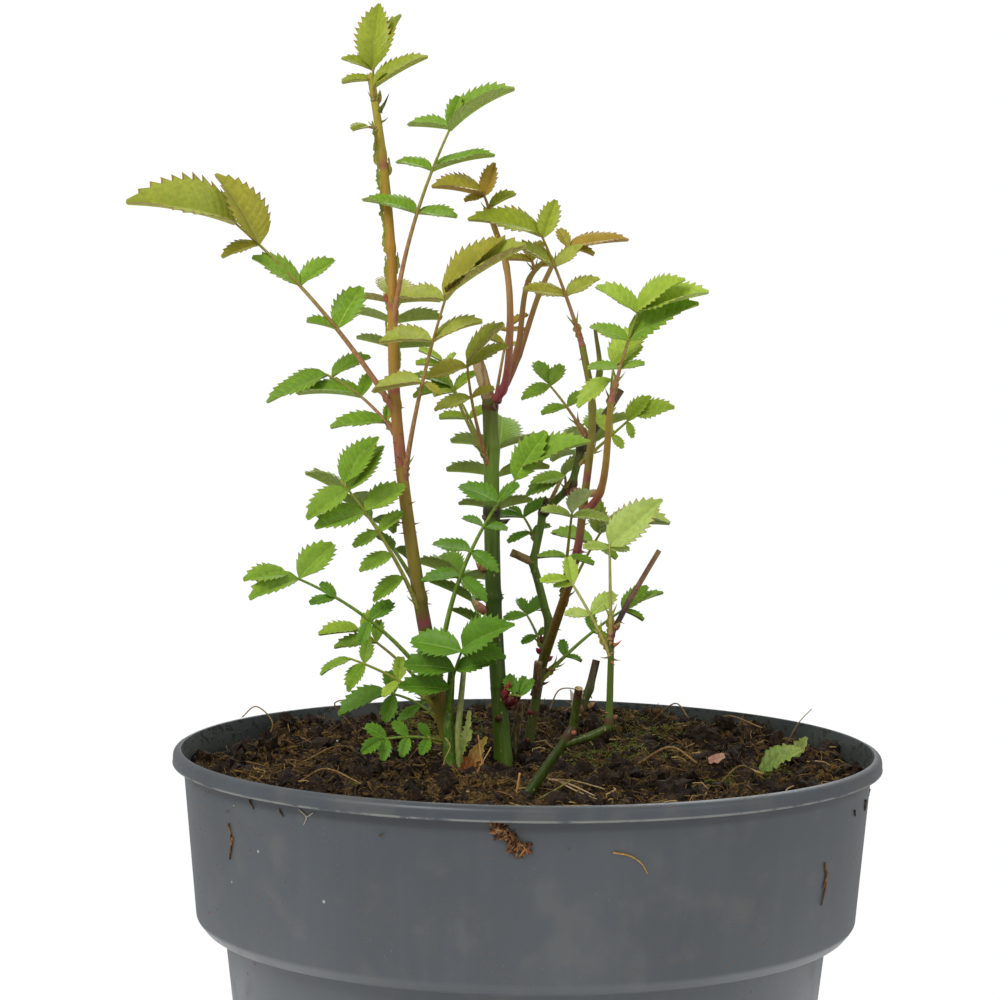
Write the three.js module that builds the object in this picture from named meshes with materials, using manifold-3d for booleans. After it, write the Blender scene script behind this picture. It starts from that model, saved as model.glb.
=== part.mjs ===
// A young rose bush in a round nursery pot.
// Millimetres, +Z up. The origin is the centre of the pot's flat underside,
// +X is the bush's right and +Y is its back.
// Canes stand on the soil. Shoots grow from canes, and compound leaves grow from both:
// a leaf is a stalk with pairs of leaflets along it and one leaflet at its end.

import * as THREE from "three";
import { mergeVertices } from "three/addons/utils/BufferGeometryUtils.js";
import Module from "manifold-3d";

const wasm = await Module();
wasm.setup();

// ---- Driving sizes ----

const POT_HEIGHT = 190;
const LIP_RADIUS = 113;
const BASE_RADIUS = 81.5;
const LIP_DEPTH = 4.8;
const WALL = 1.5;
const COLLAR_TOP_RADIUS = 109.5;
const COLLAR_FOOT_RADIUS = 105.2;
const COLLAR_FOOT = 135;
const LOWER_WALL_RADIUS = 96.3;
const POT_SIDES = 36;

const GROUND = 181;
const SOIL_LUMP = 2.6;
const PAD_RADIUS = 20;

const CLEARANCE = 0.3;
const SHELL = 0.42;
const CANE_SIDES = 6;
const CANE_STEP = 11;
const STALK_SIDES = 3;
const STALK_STEP = 18;
const STALK_RADIUS = 1;
const STALK_TIP_RADIUS = 0.7;
const KEEL_DEPTH = 0.035;
const LEVELLING = 0.4;
const SIMPLER = 0.05;
const SEED = 20;

// ---- Canes and shoots ----
// Each internode is [length, lean to the right, lean to the back], in mm and degrees.
// A cane has a foot [x, y] on the soil. A shoot has a host and the height it leaves it at.

const CANES = [
  { name: "tall_cane", foot: [-23, 4], radius: [3.1, 1.2], tone: "#6d6a3a",
    internodes: [[57, -12, -4], [62, -7.6, -1], [50, -2.2, 1], [30, -6, 6], [26, -9, 10]] },
  { name: "old_cane", foot: [-7.5, 13], radius: [2.7, 2.5], tone: "#3f5a26",
    internodes: [[55, -4, 1], [49, -1.5, -1], [15, -2, -1]] },
  { name: "dead_stub", host: "old_cane", at: 299, radius: [2.2, 1.9], tone: "#a08055",
    internodes: [[16, -17, 10]] },
  { name: "front_shoot_of_old_cane", host: "old_cane", at: 299, radius: [1.5, 0.9], tone: "#7c8a3c",
    internodes: [[7, 42, -38], [22.5, 6, -28], [20, -4, -13], [17, -18, -6]] },
  { name: "back_shoot_of_old_cane", host: "old_cane", at: 298.5, radius: [1.3, 0.8], tone: "#6f8a3c",
    internodes: [[9, 36, 20], [12, 24, 38], [22, 18, 16], [10.5, 24, 14]] },
  { name: "side_shoot_of_old_cane", host: "old_cane", at: 299, radius: [1.2, 0.8], tone: "#6f8a3c",
    internodes: [[6, 38, 4], [13.5, 21, 0], [23, 9, 0], [10, 40, 2]] },
  { name: "zigzag_cane", foot: [0, 32], radius: [1.75, 1.15], tone: "#4d5a30", angular: true,
    internodes: [[45, 9, 1], [21, -15, 3], [17, 11, -4], [13, 45, -8], [13, 14, 0], [12, 36, 3], [11, 32, 8]] },
  { name: "zigzag_stub", host: "zigzag_cane", at: 246, radius: [1.5, 1.3], tone: "#8a6a45",
    internodes: [[8, -66, -8]] },
  { name: "red_shoot", host: "zigzag_cane", at: 212, radius: [1.8, 1.1], tone: "#8a4a3a",
    internodes: [[46, 15, -33], [18, 7, -17], [33, 4, -15], [20, -10, -9]] },
  { name: "folded_shoot", host: "red_shoot", at: 303, radius: [1.5, 0.5], tone: "#7a7a3a",
    internodes: [[8, 20, -30], [16, -7, -14]] },
  { name: "red_side_shoot", host: "red_shoot", at: 264, radius: [1.4, 1.0], tone: "#8a4a3a",
    internodes: [[11, 35, -38], [33, 5, -27]] },
  { name: "front_cane", foot: [-2, -56], radius: [1.75, 1.15], tone: "#5c7a30", angular: true,
    internodes: [[25, 34, 0], [15, 23, 1], [9, 13, 4]] },
  { name: "front_stub", host: "front_cane", at: 205, radius: [1.4, 1.2], tone: "#8a6a45",
    internodes: [[13, 6, -24]] },
  { name: "front_arm", host: "front_cane", at: 199, radius: [1.25, 1.2], tone: "#7a5a45", angular: true,
    internodes: [[9, 72, -14], [6, 62, -2]] },
  { name: "front_shoot", host: "front_arm", at: 204.6, radius: [1.2, 0.75], tone: "#6b6a3a", angular: true,
    internodes: [[28, 1, 3], [12, 28, 10], [17, 31, 12]] },
];

// ---- Compound leaves ----
// host and the height the leaf leaves it at; to: where the stalk ends, from its start;
// bow: how far the stalk bows to the right and up; span: the shares of it that hold the first and
// the last pair; pairs, from the base up: lengths of the left and the right leaflet, 0 for one that
// is missing, then how far each swings away from the stalk; end: length of the end leaflet;
// turn: its swing to the right in the leaf's plane; face: how far that plane tips from the sky to
// the front, in degrees.

const LEAVES = [
  { name: "crown_leaf", host: "tall_cane", at: 399, to: [0, 1, 6.5], bow: [0, 0], span: [0.4, 0.9], pairs:
    [[10, 0, 92, 0], [11, 20, 70, 28]], end: 22, turn: 4, face: 70 },
  { name: "crown_side_leaf", host: "tall_cane", at: 394, to: [-0.5, -3, 5], bow: [0, 0], span: [0.5, 0.9],
    pairs: [[0, 7, 0, 40]], end: 20, turn: 62, face: 66 },
  { name: "young_side_leaf", host: "tall_cane", at: 386, to: [-3, -3, 0.5], bow: [0, 0], span: [0.5, 0.9],
    pairs: [], end: 9, turn: -20, face: 60 },
  { name: "upper_right_leaf", host: "tall_cane", at: 322, to: [18, -10, 64], bow: [-6, 0], span:
    [0.57, 0.99], pairs: [[19, 13, 95, 78], [12.5, 21, 95, 54], [14.5, 10.5, 104, -12]], end: 25, turn:
    33, face: 58 },
  { name: "great_left_leaf", host: "tall_cane", at: 296, to: [-51, -14, 60], bow: [4, 5], span:
    [0.41, 0.86], pairs: [[10.5, 16.5, 40, 74], [17.5, 14.5, 15, 100], [13, 26, 58, 21]], end: 35, turn:
    -28, face: 60 },
  { name: "upper_middle_leaf", host: "tall_cane", at: 273, to: [14, -22, 62], bow: [-3, 0], span:
    [0.53, 0.95], pairs: [[17, 7, 118, 110], [18.5, 17.5, 110, 48], [15, 28, 106, 26]], end: 31, turn: 37,
    face: 58 },
  { name: "left_leaf", host: "tall_cane", at: 288, to: [-24, 12, 20], bow: [2, 4], span: [0.2, 0.93],
    pairs: [[18, 6, 60, 40], [21, 9, 38, 69], [0, 14.5, 0, 117]], end: 21.5, turn: -55, face: 56 },
  { name: "stalked_left_leaf", host: "tall_cane", at: 229, to: [-26, -14, 46], bow: [4, 2], span:
    [0.31, 0.93], pairs: [[12.5, 0, 96, 0], [12, 0, 83, 0], [9.5, 11, 80, 90], [17.5, 16.5, 68, 96],
    [16.5, 19, 80, 83]], end: 20, turn: 80, face: 58 },
  { name: "low_left_leaf", host: "tall_cane", at: 205, to: [-49, -16, 41], bow: [7, 8], span:
    [0.52, 0.92], pairs: [[8, 10.5, 100, 109], [9.5, 7, 40, 10], [18, 17.5, 46, 116]], end: 14.5, turn:
    -27, face: 58 },
  { name: "low_back_leaf", host: "tall_cane", at: 201, to: [-28, 14, 24], bow: [2, 3], span: [0.8, 0.95],
    pairs: [[14, 8.5, 47, 55], [0, 9.5, 0, 82]], end: 13.5, turn: -42, face: 56 },
  { name: "low_side_leaf", host: "tall_cane", at: 200, to: [-30, -6, 18], bow: [2, 3], span: [0.5, 0.85],
    pairs: [[8, 8, 70, 70], [11, 8, 75, 80]], end: 11.5, turn: -45, face: 58 },
  { name: "dark_low_leaf", host: "tall_cane", at: 196, to: [-19, 8, 9], bow: [0, 4], span: [0.45, 0.9],
    pairs: [[9, 7, 70, 90], [10, 9, 95, 60]], end: 18, turn: -35, face: 60 },
  { name: "soil_leaf", host: "tall_cane", at: 190, to: [-22, -15, 3], bow: [0, 3], span: [0.3, 0.9],
    pairs: [[7, 6, 60, 50], [7.5, 7, 60, 50], [8, 8, 60, 45]], end: 9, turn: -20, face: 64 },
  { name: "heart_leaf", host: "tall_cane", at: 190, to: [4.5, -24, 34], bow: [-4, 2], span: [0.55, 0.95],
    pairs: [[17, 0, 102, 0], [17, 15, 110, 50], [18, 15, 108, 64]], end: 23, turn: 30, face: 72 },
  { name: "long_middle_leaf", host: "tall_cane", at: 206, to: [27, -26, 75], bow: [-13, 5], span:
    [0.49, 0.93], pairs: [[13.5, 11.5, 122, 108], [13.5, 11, 105, 98], [8, 8, 105, 60],
    [14.5, 9.5, 105, 15], [18.5, 0, 2, 0]], end: 24.5, turn: 24, face: 60 },
  { name: "inner_left_leaf", host: "old_cane", at: 278, to: [-16, -8, 35], bow: [-2, 0], span:
    [0.72, 0.93], pairs: [[7, 7, 80, 70], [10, 6, 60, 60]], end: 9, turn: -40, face: 56 },
  { name: "inner_front_leaf", host: "old_cane", at: 276, to: [-8, -19, 37], bow: [-3, 2], span:
    [0.68, 0.95], pairs: [[12.5, 8, 92, 80], [13.5, 14.5, 98, 65]], end: 18, turn: 45, face: 56 },
  { name: "inner_back_leaf", host: "old_cane", at: 277, to: [-13, 14, 27], bow: [0, 3], span: [0.6, 0.95],
    pairs: [[10, 8, 70, 70], [14, 10, 75, 70]], end: 15, turn: -40, face: 50 },
  { name: "stub_leaf", host: "old_cane", at: 291, to: [5.5, 14, 33], bow: [0, 2], span: [0.8, 0.95],
    pairs: [[9, 5, 75, 75], [8.5, 6, 88, 70]], end: 8, turn: 45, face: 52 },
  { name: "middle_tip_leaf", host: "front_shoot_of_old_cane", at: 359, to: [-2, -2, 6], bow: [0, 1], span:
    [0.3, 0.95], pairs: [[0, 10, 0, 75], [7, 11, 70, 45]], end: 19, turn: -50, face: 60 },
  { name: "bronze_tip_leaf", host: "back_shoot_of_old_cane", at: 343, to: [6, 2, 7], bow: [0, 1], span:
    [0.3, 0.95], pairs: [[8, 9, 70, 60]], end: 20, turn: 32, face: 56 },
  { name: "side_tip_leaf", host: "side_shoot_of_old_cane", at: 342, to: [-1, 1, 3], bow: [0, 0], span:
    [0.3, 0.95], pairs: [[0, 7, 0, 100], [8, 8, 65, 45]], end: 7, turn: -10, face: 56 },
  { name: "red_top_leaf", host: "red_shoot", at: 320, to: [-13.5, -2, 35], bow: [1, 1], span:
    [0.44, 0.96], pairs: [[14, 12.5, 59, 81], [15, 11.5, 43, 74], [0, 13, 0, 47]], end: 24, turn: -50,
    face: 60 },
  { name: "great_right_leaf", host: "red_side_shoot", at: 304, to: [8, -12, 29], bow: [0, 3], span:
    [0.35, 0.95], pairs: [[10, 8, 100, 55], [13, 26, 95, 40], [16, 20, 83, 30]], end: 24, turn: 46, face:
    58 },
  { name: "right_leaf", host: "red_side_shoot", at: 298, to: [1, 4, 14], bow: [0, 1], span: [0.7, 0.95],
    pairs: [[14, 0, 130, 0], [8, 12, 95, 50]], end: 20, turn: 36, face: 58 },
  { name: "zigzag_inner_leaf", host: "zigzag_cane", at: 287, to: [-13, 8, 18], bow: [0, 2], span:
    [0.55, 0.95], pairs: [[9, 8, 80, 75], [11, 9, 80, 60]], end: 10, turn: 10, face: 60 },
  { name: "far_right_leaf", host: "zigzag_cane", at: 278, to: [19, -8, 18], bow: [0, 0], span:
    [0.6, 0.85], pairs: [[9, 6, 100, 90], [11.5, 6, 6, 105]], end: 14, turn: 30, face: 60 },
  { name: "knee_leaf", host: "zigzag_cane", at: 270, to: [-0.5, -5, 5], bow: [0, 0], span: [0.9, 0.95],
    pairs: [[14, 0, 98, 0]], end: 12, turn: -78, face: 56 },
  { name: "stub_side_leaf", host: "zigzag_cane", at: 252, to: [-5, 10, 9], bow: [0, 2], span: [0.35, 0.9],
    pairs: [[9, 7, 95, 80], [11.5, 12.5, 55, 80]], end: 7, turn: -20, face: 52 },
  { name: "thin_stalk_leaf", host: "red_shoot", at: 234, to: [2, -30, 32], bow: [0, 2], span: [0.5, 0.95],
    pairs: [[10, 9, 105, 100], [10, 13, 92, 78]], end: 14, turn: 18, face: 58 },
  { name: "middle_right_leaf", host: "red_shoot", at: 230, to: [13.5, -12, 29], bow: [0, 3], span:
    [0.82, 0.95], pairs: [[16, 9, 110, 80], [12, 12, 35, 10]], end: 25, turn: 42, face: 60 },
  { name: "pale_leaf", host: "front_shoot", at: 231, to: [-1, -6, 29], bow: [0, 1], span: [0.9, 0.95],
    pairs: [[8, 6, 85, 95]], end: 21, turn: 48, face: 64 },
  { name: "pale_left_leaf", host: "front_shoot", at: 226, to: [-13, 4, 23], bow: [0, 2], span: [0.5, 0.9],
    pairs: [[8, 10.5, 60, 75], [6, 9, 60, 20]], end: 9, turn: -65, face: 62 },
  { name: "reaching_low_leaf", host: "zigzag_cane", at: 206, to: [31, 6, 26], bow: [0, 4], span:
    [0.3, 0.9], pairs: [[6, 6, 60, 60], [7, 6, 60, 60], [12, 8, 10, 60]], end: 12, turn: 8, face: 56 },
  { name: "thin_dark_leaf", host: "zigzag_cane", at: 216, to: [-6, 10, 12], bow: [0, 2], span:
    [0.4, 0.95], pairs: [[6, 5, 100, 70], [8, 9, 80, 60]], end: 8, turn: 5, face: 56 },
  { name: "small_bright_leaf", host: "old_cane", at: 204, to: [7, -7, 1], bow: [0, 1], span: [0.75, 0.95],
    pairs: [[8.5, 0, 135, 0], [7, 0, 100, 0]], end: 7, turn: -68, face: 74 },
  { name: "back_low_leaf", host: "old_cane", at: 214, to: [-14, 36, 26], bow: [0, 6], span: [0.35, 0.95],
    pairs: [[13, 13, 70, 70], [16, 16, 70, 70], [16, 16, 65, 65]], end: 19, turn: 0, face: -30 },
  { name: "back_left_leaf", host: "tall_cane", at: 240, to: [-26, 36, 28], bow: [0, 6], span:
    [0.35, 0.95], pairs: [[13, 13, 70, 70], [17, 17, 70, 70], [17, 17, 65, 65]], end: 21, turn: 0, face:
    -30 },
  { name: "back_middle_leaf", host: "old_cane", at: 250, to: [2, 46, 34], bow: [0, 6], span: [0.35, 0.95],
    pairs: [[13, 13, 70, 70], [18, 18, 70, 70], [18, 18, 65, 65]], end: 22, turn: 0, face: -35 },
  { name: "back_upper_leaf", host: "tall_cane", at: 306, to: [-2, 44, 26], bow: [0, 5], span:
    [0.35, 0.95], pairs: [[13, 13, 70, 70], [17, 17, 70, 70], [17, 17, 65, 65]], end: 21, turn: 0, face:
    -35 },
  { name: "back_right_leaf", host: "zigzag_cane", at: 264, to: [16, 34, 24], bow: [0, 5], span:
    [0.35, 0.95], pairs: [[13, 13, 70, 70], [16, 16, 70, 70], [16, 16, 65, 65]], end: 20, turn: 0, face:
    -35 },
];

// How far the blades of some leaves are tipped to the front, in degrees.
const TILTS = {
  heart_leaf: 54, stalked_left_leaf: 42, great_left_leaf: 34, great_right_leaf: 38,
  far_right_leaf: 42, red_top_leaf: 34, upper_middle_leaf: 32, inner_front_leaf: 34,
  knee_leaf: 36, zigzag_inner_leaf: 42, soil_leaf: 46, small_bright_leaf: 44, pale_leaf: 42,
  pale_left_leaf: 36, low_left_leaf: 36, long_middle_leaf: 34, thin_dark_leaf: 42,
  middle_tip_leaf: 34, left_leaf: 28, dark_low_leaf: 34, right_leaf: 34,
};

// ---- Seeded chance ----

function chance(seed) {
  let state = seed >>> 0;
  return () => {
    state = (state + 0x6d2b79f5) >>> 0;
    let mix = state;
    mix = Math.imul(mix ^ (mix >>> 15), mix | 1);
    mix ^= mix + Math.imul(mix ^ (mix >>> 7), mix | 61);
    return ((mix ^ (mix >>> 14)) >>> 0) / 4294967296;
  };
}

// ---- Solids ----

function closedMesh(geometry) {
  const bare = geometry.clone();
  bare.deleteAttribute("normal");
  bare.deleteAttribute("uv");
  const merged = mergeVertices(bare, 1e-4);
  const corners = merged.index.array;
  const kept = [];
  for (let i = 0; i < corners.length; i += 3) {
    const [a, b, c] = corners.slice(i, i + 3);
    if (a !== b && b !== c && c !== a) kept.push(a, b, c);
  }
  merged.setIndex(kept);
  return merged;
}

function toSolid(geometry) {
  const mesh = closedMesh(geometry);
  return new wasm.Manifold(new wasm.Mesh({
    numProp: 3,
    vertProperties: new Float32Array(mesh.attributes.position.array),
    triVerts: new Uint32Array(mesh.index.array),
  }));
}

function toGeometry(solid) {
  const mesh = solid.getMesh();
  const geometry = new THREE.BufferGeometry();
  geometry.setAttribute("position", new THREE.BufferAttribute(mesh.vertProperties, 3));
  geometry.setIndex(new THREE.BufferAttribute(mesh.triVerts, 1));
  geometry.computeVertexNormals();
  return geometry;
}

// What is left after a cut, without its loose scraps.
function largestPiece(solid) {
  const pieces = solid.decompose();
  return pieces.reduce((best, piece) => (piece.volume() > best.volume() ? piece : best));
}

function boxesMeet(one, other, reach) {
  const a = one.boundingBox();
  const b = other.boundingBox();
  return [0, 1, 2].every((k) => a.min[k] - reach < b.max[k] && b.min[k] - reach < a.max[k]);
}

function touches(solid, others) {
  return others.some((other) => boxesMeet(solid, other, CLEARANCE)
    && solid.minGap(other, 2 * CLEARANCE) < CLEARANCE);
}

// Moves every vertex of an upright cylinder or cone. place gets how far up the vertex lies,
// from 0 to 1, and its two coordinates across.
function bend(geometry, place) {
  const position = geometry.attributes.position;
  for (let i = 0; i < position.count; i += 1) {
    const moved = place(position.getY(i) + 0.5, position.getX(i), position.getZ(i));
    position.setXYZ(i, moved.x, moved.y, moved.z);
  }
  return geometry;
}

// ---- Tapered limbs ----

// Frames that follow a curve without twisting.
function framesAlong(curve, steps, firstTangent) {
  const frames = [];
  let normal = new THREE.Vector3(1, 0, 0);
  for (let i = 0; i <= steps; i += 1) {
    const tangent = i === 0 && firstTangent ? firstTangent : curve.getTangentAt(i / steps);
    if (i === 0 && Math.abs(tangent.x) > 0.8) normal = new THREE.Vector3(0, 0, 1);
    normal = normal.clone().addScaledVector(tangent, -normal.dot(tangent)).normalize();
    const side = new THREE.Vector3().crossVectors(normal, tangent);
    frames.push({ centre: curve.getPointAt(i / steps), normal, side });
  }
  return frames;
}

function taperedTube(curve, [startRadius, endRadius], sides, steps, firstTangent) {
  const frames = framesAlong(curve, steps, firstTangent);
  const tube = new THREE.CylinderGeometry(1, 1, 1, sides, steps);
  return toSolid(bend(tube, (up, x, z) => {
    const frame = frames[Math.round(up * steps)];
    const radius = THREE.MathUtils.lerp(startRadius, endRadius, up);
    return frame.centre.clone()
      .addScaledVector(frame.normal, x * radius)
      .addScaledVector(frame.side, z * radius);
  }));
}

function leaning([length, right, back]) {
  const tan = (degrees) => Math.tan(THREE.MathUtils.degToRad(degrees));
  return new THREE.Vector3(tan(right), tan(back), 1).setLength(length);
}

// The point of a cane's middle line at a height above the pot's underside.
function pointAtHeight(curve, height) {
  let low = 0;
  let high = 1;
  for (let i = 0; i < 24; i += 1) {
    const middle = (low + high) / 2;
    if (curve.getPointAt(middle).z < height) low = middle;
    else high = middle;
  }
  return curve.getPointAt(low);
}

// A cane's middle line, run on past its tip by extra.
function caneCurve(cane, curves, extra) {
  const start = cane.host
    ? pointAtHeight(curves.get(cane.host), cane.at)
    : new THREE.Vector3(...cane.foot, GROUND + CLEARANCE);
  const points = [start];
  for (const internode of cane.internodes) {
    const from = points.at(-1);
    const to = from.clone().add(leaning(internode));
    if (cane.angular) points.push(from.clone().lerp(to, 0.25), from.clone().lerp(to, 0.75));
    points.push(to);
  }
  points.at(-1).addScaledVector(leaning(cane.internodes.at(-1)).normalize(), extra);
  return new THREE.CatmullRomCurve3(points, false, "centripetal");
}

function caneSolid(cane, curves, extra) {
  const curve = caneCurve(cane, curves, extra);
  const steps = Math.max(2, Math.ceil(curve.getLength() / CANE_STEP));
  const upright = cane.foot ? new THREE.Vector3(0, 0, 1) : undefined;
  const radii = cane.radius.map((radius) => radius + extra);
  return taperedTube(curve, radii, CANE_SIDES, steps, upright);
}

// ---- Leaves ----

const BLADE_STATIONS = [0, 0.3, 0.68, 1];
const BLADE_WIDTHS = [0.05, 0.96, 0.84, 0];

// An arched leaflet: flat above, with a keel below for its midrib, and pointed at its end.
// Its section is a triangle whose flat side is up.
function bladeSolid({ root, along, upper, length, width, curl }) {
  const across = new THREE.Vector3().crossVectors(upper, along);
  const steps = BLADE_STATIONS.length - 1;
  const blade = new THREE.CylinderGeometry(0, 1, 1, 3, steps);
  return toSolid(bend(blade, (up, x, z) => {
    const step = Math.round(up * steps);
    const station = BLADE_STATIONS[step];
    const ring = up < 1 ? 1 - up : 1;
    const sideways = (x / ring / Math.sin(Math.PI / 3)) * (BLADE_WIDTHS[step] * width) / 2;
    const below = ((z / ring + 0.5) / 1.5) * KEEL_DEPTH * length;
    return root.clone()
      .addScaledVector(along, station * length)
      .addScaledVector(across, sideways)
      .addScaledVector(upper, curl * length * (0.9 - station) * station - below);
  }));
}

// Straight up, tipped to the front by some degrees.
function tipped(degrees) {
  const angle = THREE.MathUtils.degToRad(degrees);
  return new THREE.Vector3(0, -Math.sin(angle), Math.cos(angle));
}

// Where the parts of one compound leaf go: its stalk, then its leaflets from the base up.
// Leaflets spread in the leaf's tipped plane, and each blade levels itself to the sky.
function leafPlan(leaf, start, random) {
  const between = (low, high) => low + (high - low) * random();
  const radians = THREE.MathUtils.degToRad;
  const end = start.clone().add(new THREE.Vector3(...leaf.to));
  const middle = start.clone().lerp(end, 0.5).add(new THREE.Vector3(leaf.bow[0], 0, leaf.bow[1]));
  const stalk = new THREE.QuadraticBezierCurve3(start, middle, end);
  const sky = tipped(leaf.face);
  const level = tipped(TILTS[leaf.name] ?? LEVELLING * leaf.face);

  const leaflet = (place, swing, length) => {
    const tangent = stalk.getTangentAt(place);
    const right = new THREE.Vector3().crossVectors(tangent, sky).normalize();
    const along = tangent.clone().multiplyScalar(Math.cos(radians(swing)))
      .addScaledVector(right, Math.sin(radians(swing)))
      .addScaledVector(sky, between(-0.12, 0.04))
      .normalize();
    const upper = level.clone().addScaledVector(right, between(-0.25, 0.25));
    upper.addScaledVector(along, -upper.dot(along)).normalize();
    const width = length * between(0.54, 0.64);
    const curl = between(0.1, 0.5);
    return { root: stalk.getPointAt(place), along, upper, length, width, curl };
  };

  const leaflets = [];
  leaf.pairs.forEach(([left, right, leftSwing, rightSwing], pair) => {
    const share = leaf.pairs.length > 1 ? pair / (leaf.pairs.length - 1) : 1;
    const place = THREE.MathUtils.lerp(...leaf.span, share);
    for (const [side, length, swing] of [[-1, left, leftSwing], [1, right, rightSwing]]) {
      const next = leaflet(place, side * (swing + between(-4, 4)), length);
      if (length > 0) leaflets.push(next);
    }
  });
  leaflets.push(leaflet(0.98, leaf.turn, leaf.end));
  return { stalk, leaflets };
}

function stalkSolid(stalk, hostShell) {
  const steps = Math.max(2, Math.ceil(stalk.getLength() / STALK_STEP));
  const whole = taperedTube(stalk, [STALK_RADIUS, STALK_TIP_RADIUS], STALK_SIDES, steps);
  return largestPiece(whole.subtract(hostShell));
}

// The leaflet as planned, or turned up or down a little so that it touches nothing.
// It is left out where no turn is enough.
function fittingBlade(leaflet, hostShell, neighbours) {
  for (const lift of [0, 0.3, -0.3, 0.6, -0.6]) {
    const along = leaflet.along.clone().addScaledVector(leaflet.upper, lift).normalize();
    const upper = leaflet.upper.clone().addScaledVector(along, -leaflet.upper.dot(along)).normalize();
    const blade = bladeSolid({ ...leaflet, along, upper });
    if (!touches(blade, neighbours) && blade.intersect(hostShell).isEmpty()) return blade;
  }
  return null;
}

// ---- Pot and soil ----

function lathe(profile, sides) {
  const points = profile.map(([radius, height]) => new THREE.Vector2(radius, height));
  return new THREE.LatheGeometry(points, sides).rotateX(Math.PI / 2);
}

// Half the wall of the pot in section: up the outside, over the lip and down the inside.
function potProfile() {
  const lipFoot = POT_HEIGHT - LIP_DEPTH;
  return [
    [0, 0],
    [BASE_RADIUS - 2.5, 0],
    [BASE_RADIUS, 2.5],
    [LOWER_WALL_RADIUS, COLLAR_FOOT - 2],
    [COLLAR_FOOT_RADIUS - 1.5, COLLAR_FOOT - 1],
    [COLLAR_FOOT_RADIUS, COLLAR_FOOT + 1.5],
    [COLLAR_TOP_RADIUS, lipFoot - 0.4],
    [LIP_RADIUS, lipFoot],
    [LIP_RADIUS, POT_HEIGHT - 1.2],
    [LIP_RADIUS - 1.6, POT_HEIGHT],
    [COLLAR_TOP_RADIUS + 0.7, POT_HEIGHT],
    [COLLAR_TOP_RADIUS - WALL, lipFoot - 3],
    [COLLAR_FOOT_RADIUS - WALL, COLLAR_FOOT + 2.5],
    [LOWER_WALL_RADIUS - WALL, COLLAR_FOOT + 0.5],
    [BASE_RADIUS - WALL, 2.5 + WALL],
    [BASE_RADIUS - WALL - 2.5, WALL],
    [0, WALL],
  ];
}

function innerRadiusAt(height) {
  const foot = COLLAR_FOOT + 2.5;
  const share = (height - foot) / (POT_HEIGHT - LIP_DEPTH - 3 - foot);
  return THREE.MathUtils.lerp(COLLAR_FOOT_RADIUS, COLLAR_TOP_RADIUS, share) - WALL;
}

// Lumps in the soil, level under each cane's foot.
function soilLump(x, y) {
  const waves = Math.sin(x * 0.11 + 1.3) * Math.cos(y * 0.13 - 0.4)
    + 0.6 * Math.sin(x * 0.23 - y * 0.19 + 2.1) + 0.004 * (x + 2 * y);
  const feet = CANES.filter((cane) => cane.foot);
  const nearest = Math.min(...feet.map((cane) => Math.hypot(x - cane.foot[0], y - cane.foot[1])));
  return waves * SOIL_LUMP * THREE.MathUtils.smoothstep(nearest, PAD_RADIUS, 2 * PAD_RADIUS);
}

function soilGeometry() {
  const gap = CLEARANCE;
  const edge = innerRadiusAt(GROUND - 5) - gap;
  const rings = [1, 0.9, 0.75, 0.6, 0.45, 0.3, 0.15, 0];
  const body = lathe([
    [0, WALL + gap],
    [BASE_RADIUS - WALL - 2.5 - gap, WALL + gap],
    [BASE_RADIUS - WALL - gap, 2.5 + WALL + gap],
    [LOWER_WALL_RADIUS - WALL - gap, COLLAR_FOOT + 0.5 + gap],
    [COLLAR_FOOT_RADIUS - WALL - gap, COLLAR_FOOT + 2.5 + 2 * gap],
    [edge, GROUND - 5],
    ...rings.map((share) => [edge * share * 0.995, GROUND]),
  ], POT_SIDES);
  const position = body.attributes.position;
  for (let i = 0; i < position.count; i += 1) {
    const [x, y, z] = [position.getX(i), position.getY(i), position.getZ(i)];
    if (z > GROUND - 1) position.setZ(i, GROUND + soilLump(x, y));
  }
  return body;
}

// ---- The bush ----

const bush = new THREE.Group();

function addPart(name, geometry, color, roughness) {
  const material = new THREE.MeshStandardMaterial({ color, roughness, metalness: 0 });
  const mesh = new THREE.Mesh(geometry, material);
  mesh.name = name;
  bush.add(mesh);
  return mesh;
}

addPart("pot", closedMesh(lathe(potProfile(), POT_SIDES)), "#5a5c5e", 0.5);
addPart("soil", closedMesh(soilGeometry()), "#3a2a1f", 0.95);

const curves = new Map();
const shells = new Map();
const limbs = [];
for (const cane of CANES) {
  const before = CANES.filter(({ name, host }) => shells.has(name) && cane.host
    && (name === cane.host || host === cane.host));
  shells.set(cane.name, caneSolid(cane, curves, SHELL));
  const solid = before.reduce(
    (rest, { name }) => largestPiece(rest.subtract(shells.get(name))),
    caneSolid(cane, curves, 0),
  );
  curves.set(cane.name, caneCurve(cane, curves, 0));
  addPart(cane.name, toGeometry(solid), cane.tone, 0.7);
  limbs.push(solid);
}

const plans = LEAVES.map((leaf, index) => {
  const start = pointAtHeight(curves.get(leaf.host), leaf.at);
  return leafPlan(leaf, start, chance(SEED + index));
});
const leaves = plans.map((plan, index) => stalkSolid(plan.stalk, shells.get(LEAVES[index].host)));
LEAVES.forEach((leaf, index) => {
  const otherLimbs = limbs.filter((_, place) => CANES[place].name !== leaf.host);
  const otherLeaves = leaves.filter((_, place) => place !== index);
  const neighbours = [...otherLimbs, ...otherLeaves];
  const blades = plans[index].leaflets
    .map((leaflet) => fittingBlade(leaflet, shells.get(leaf.host), neighbours))
    .filter((blade) => blade !== null);
  const joined = blades.reduce((whole, blade) => whole.add(blade), leaves[index]);
  leaves[index] = largestPiece(joined.simplify(SIMPLER));
  addPart(leaf.name, toGeometry(leaves[index]), "#5f8f3a", 0.6);
});

export default bush;
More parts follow.
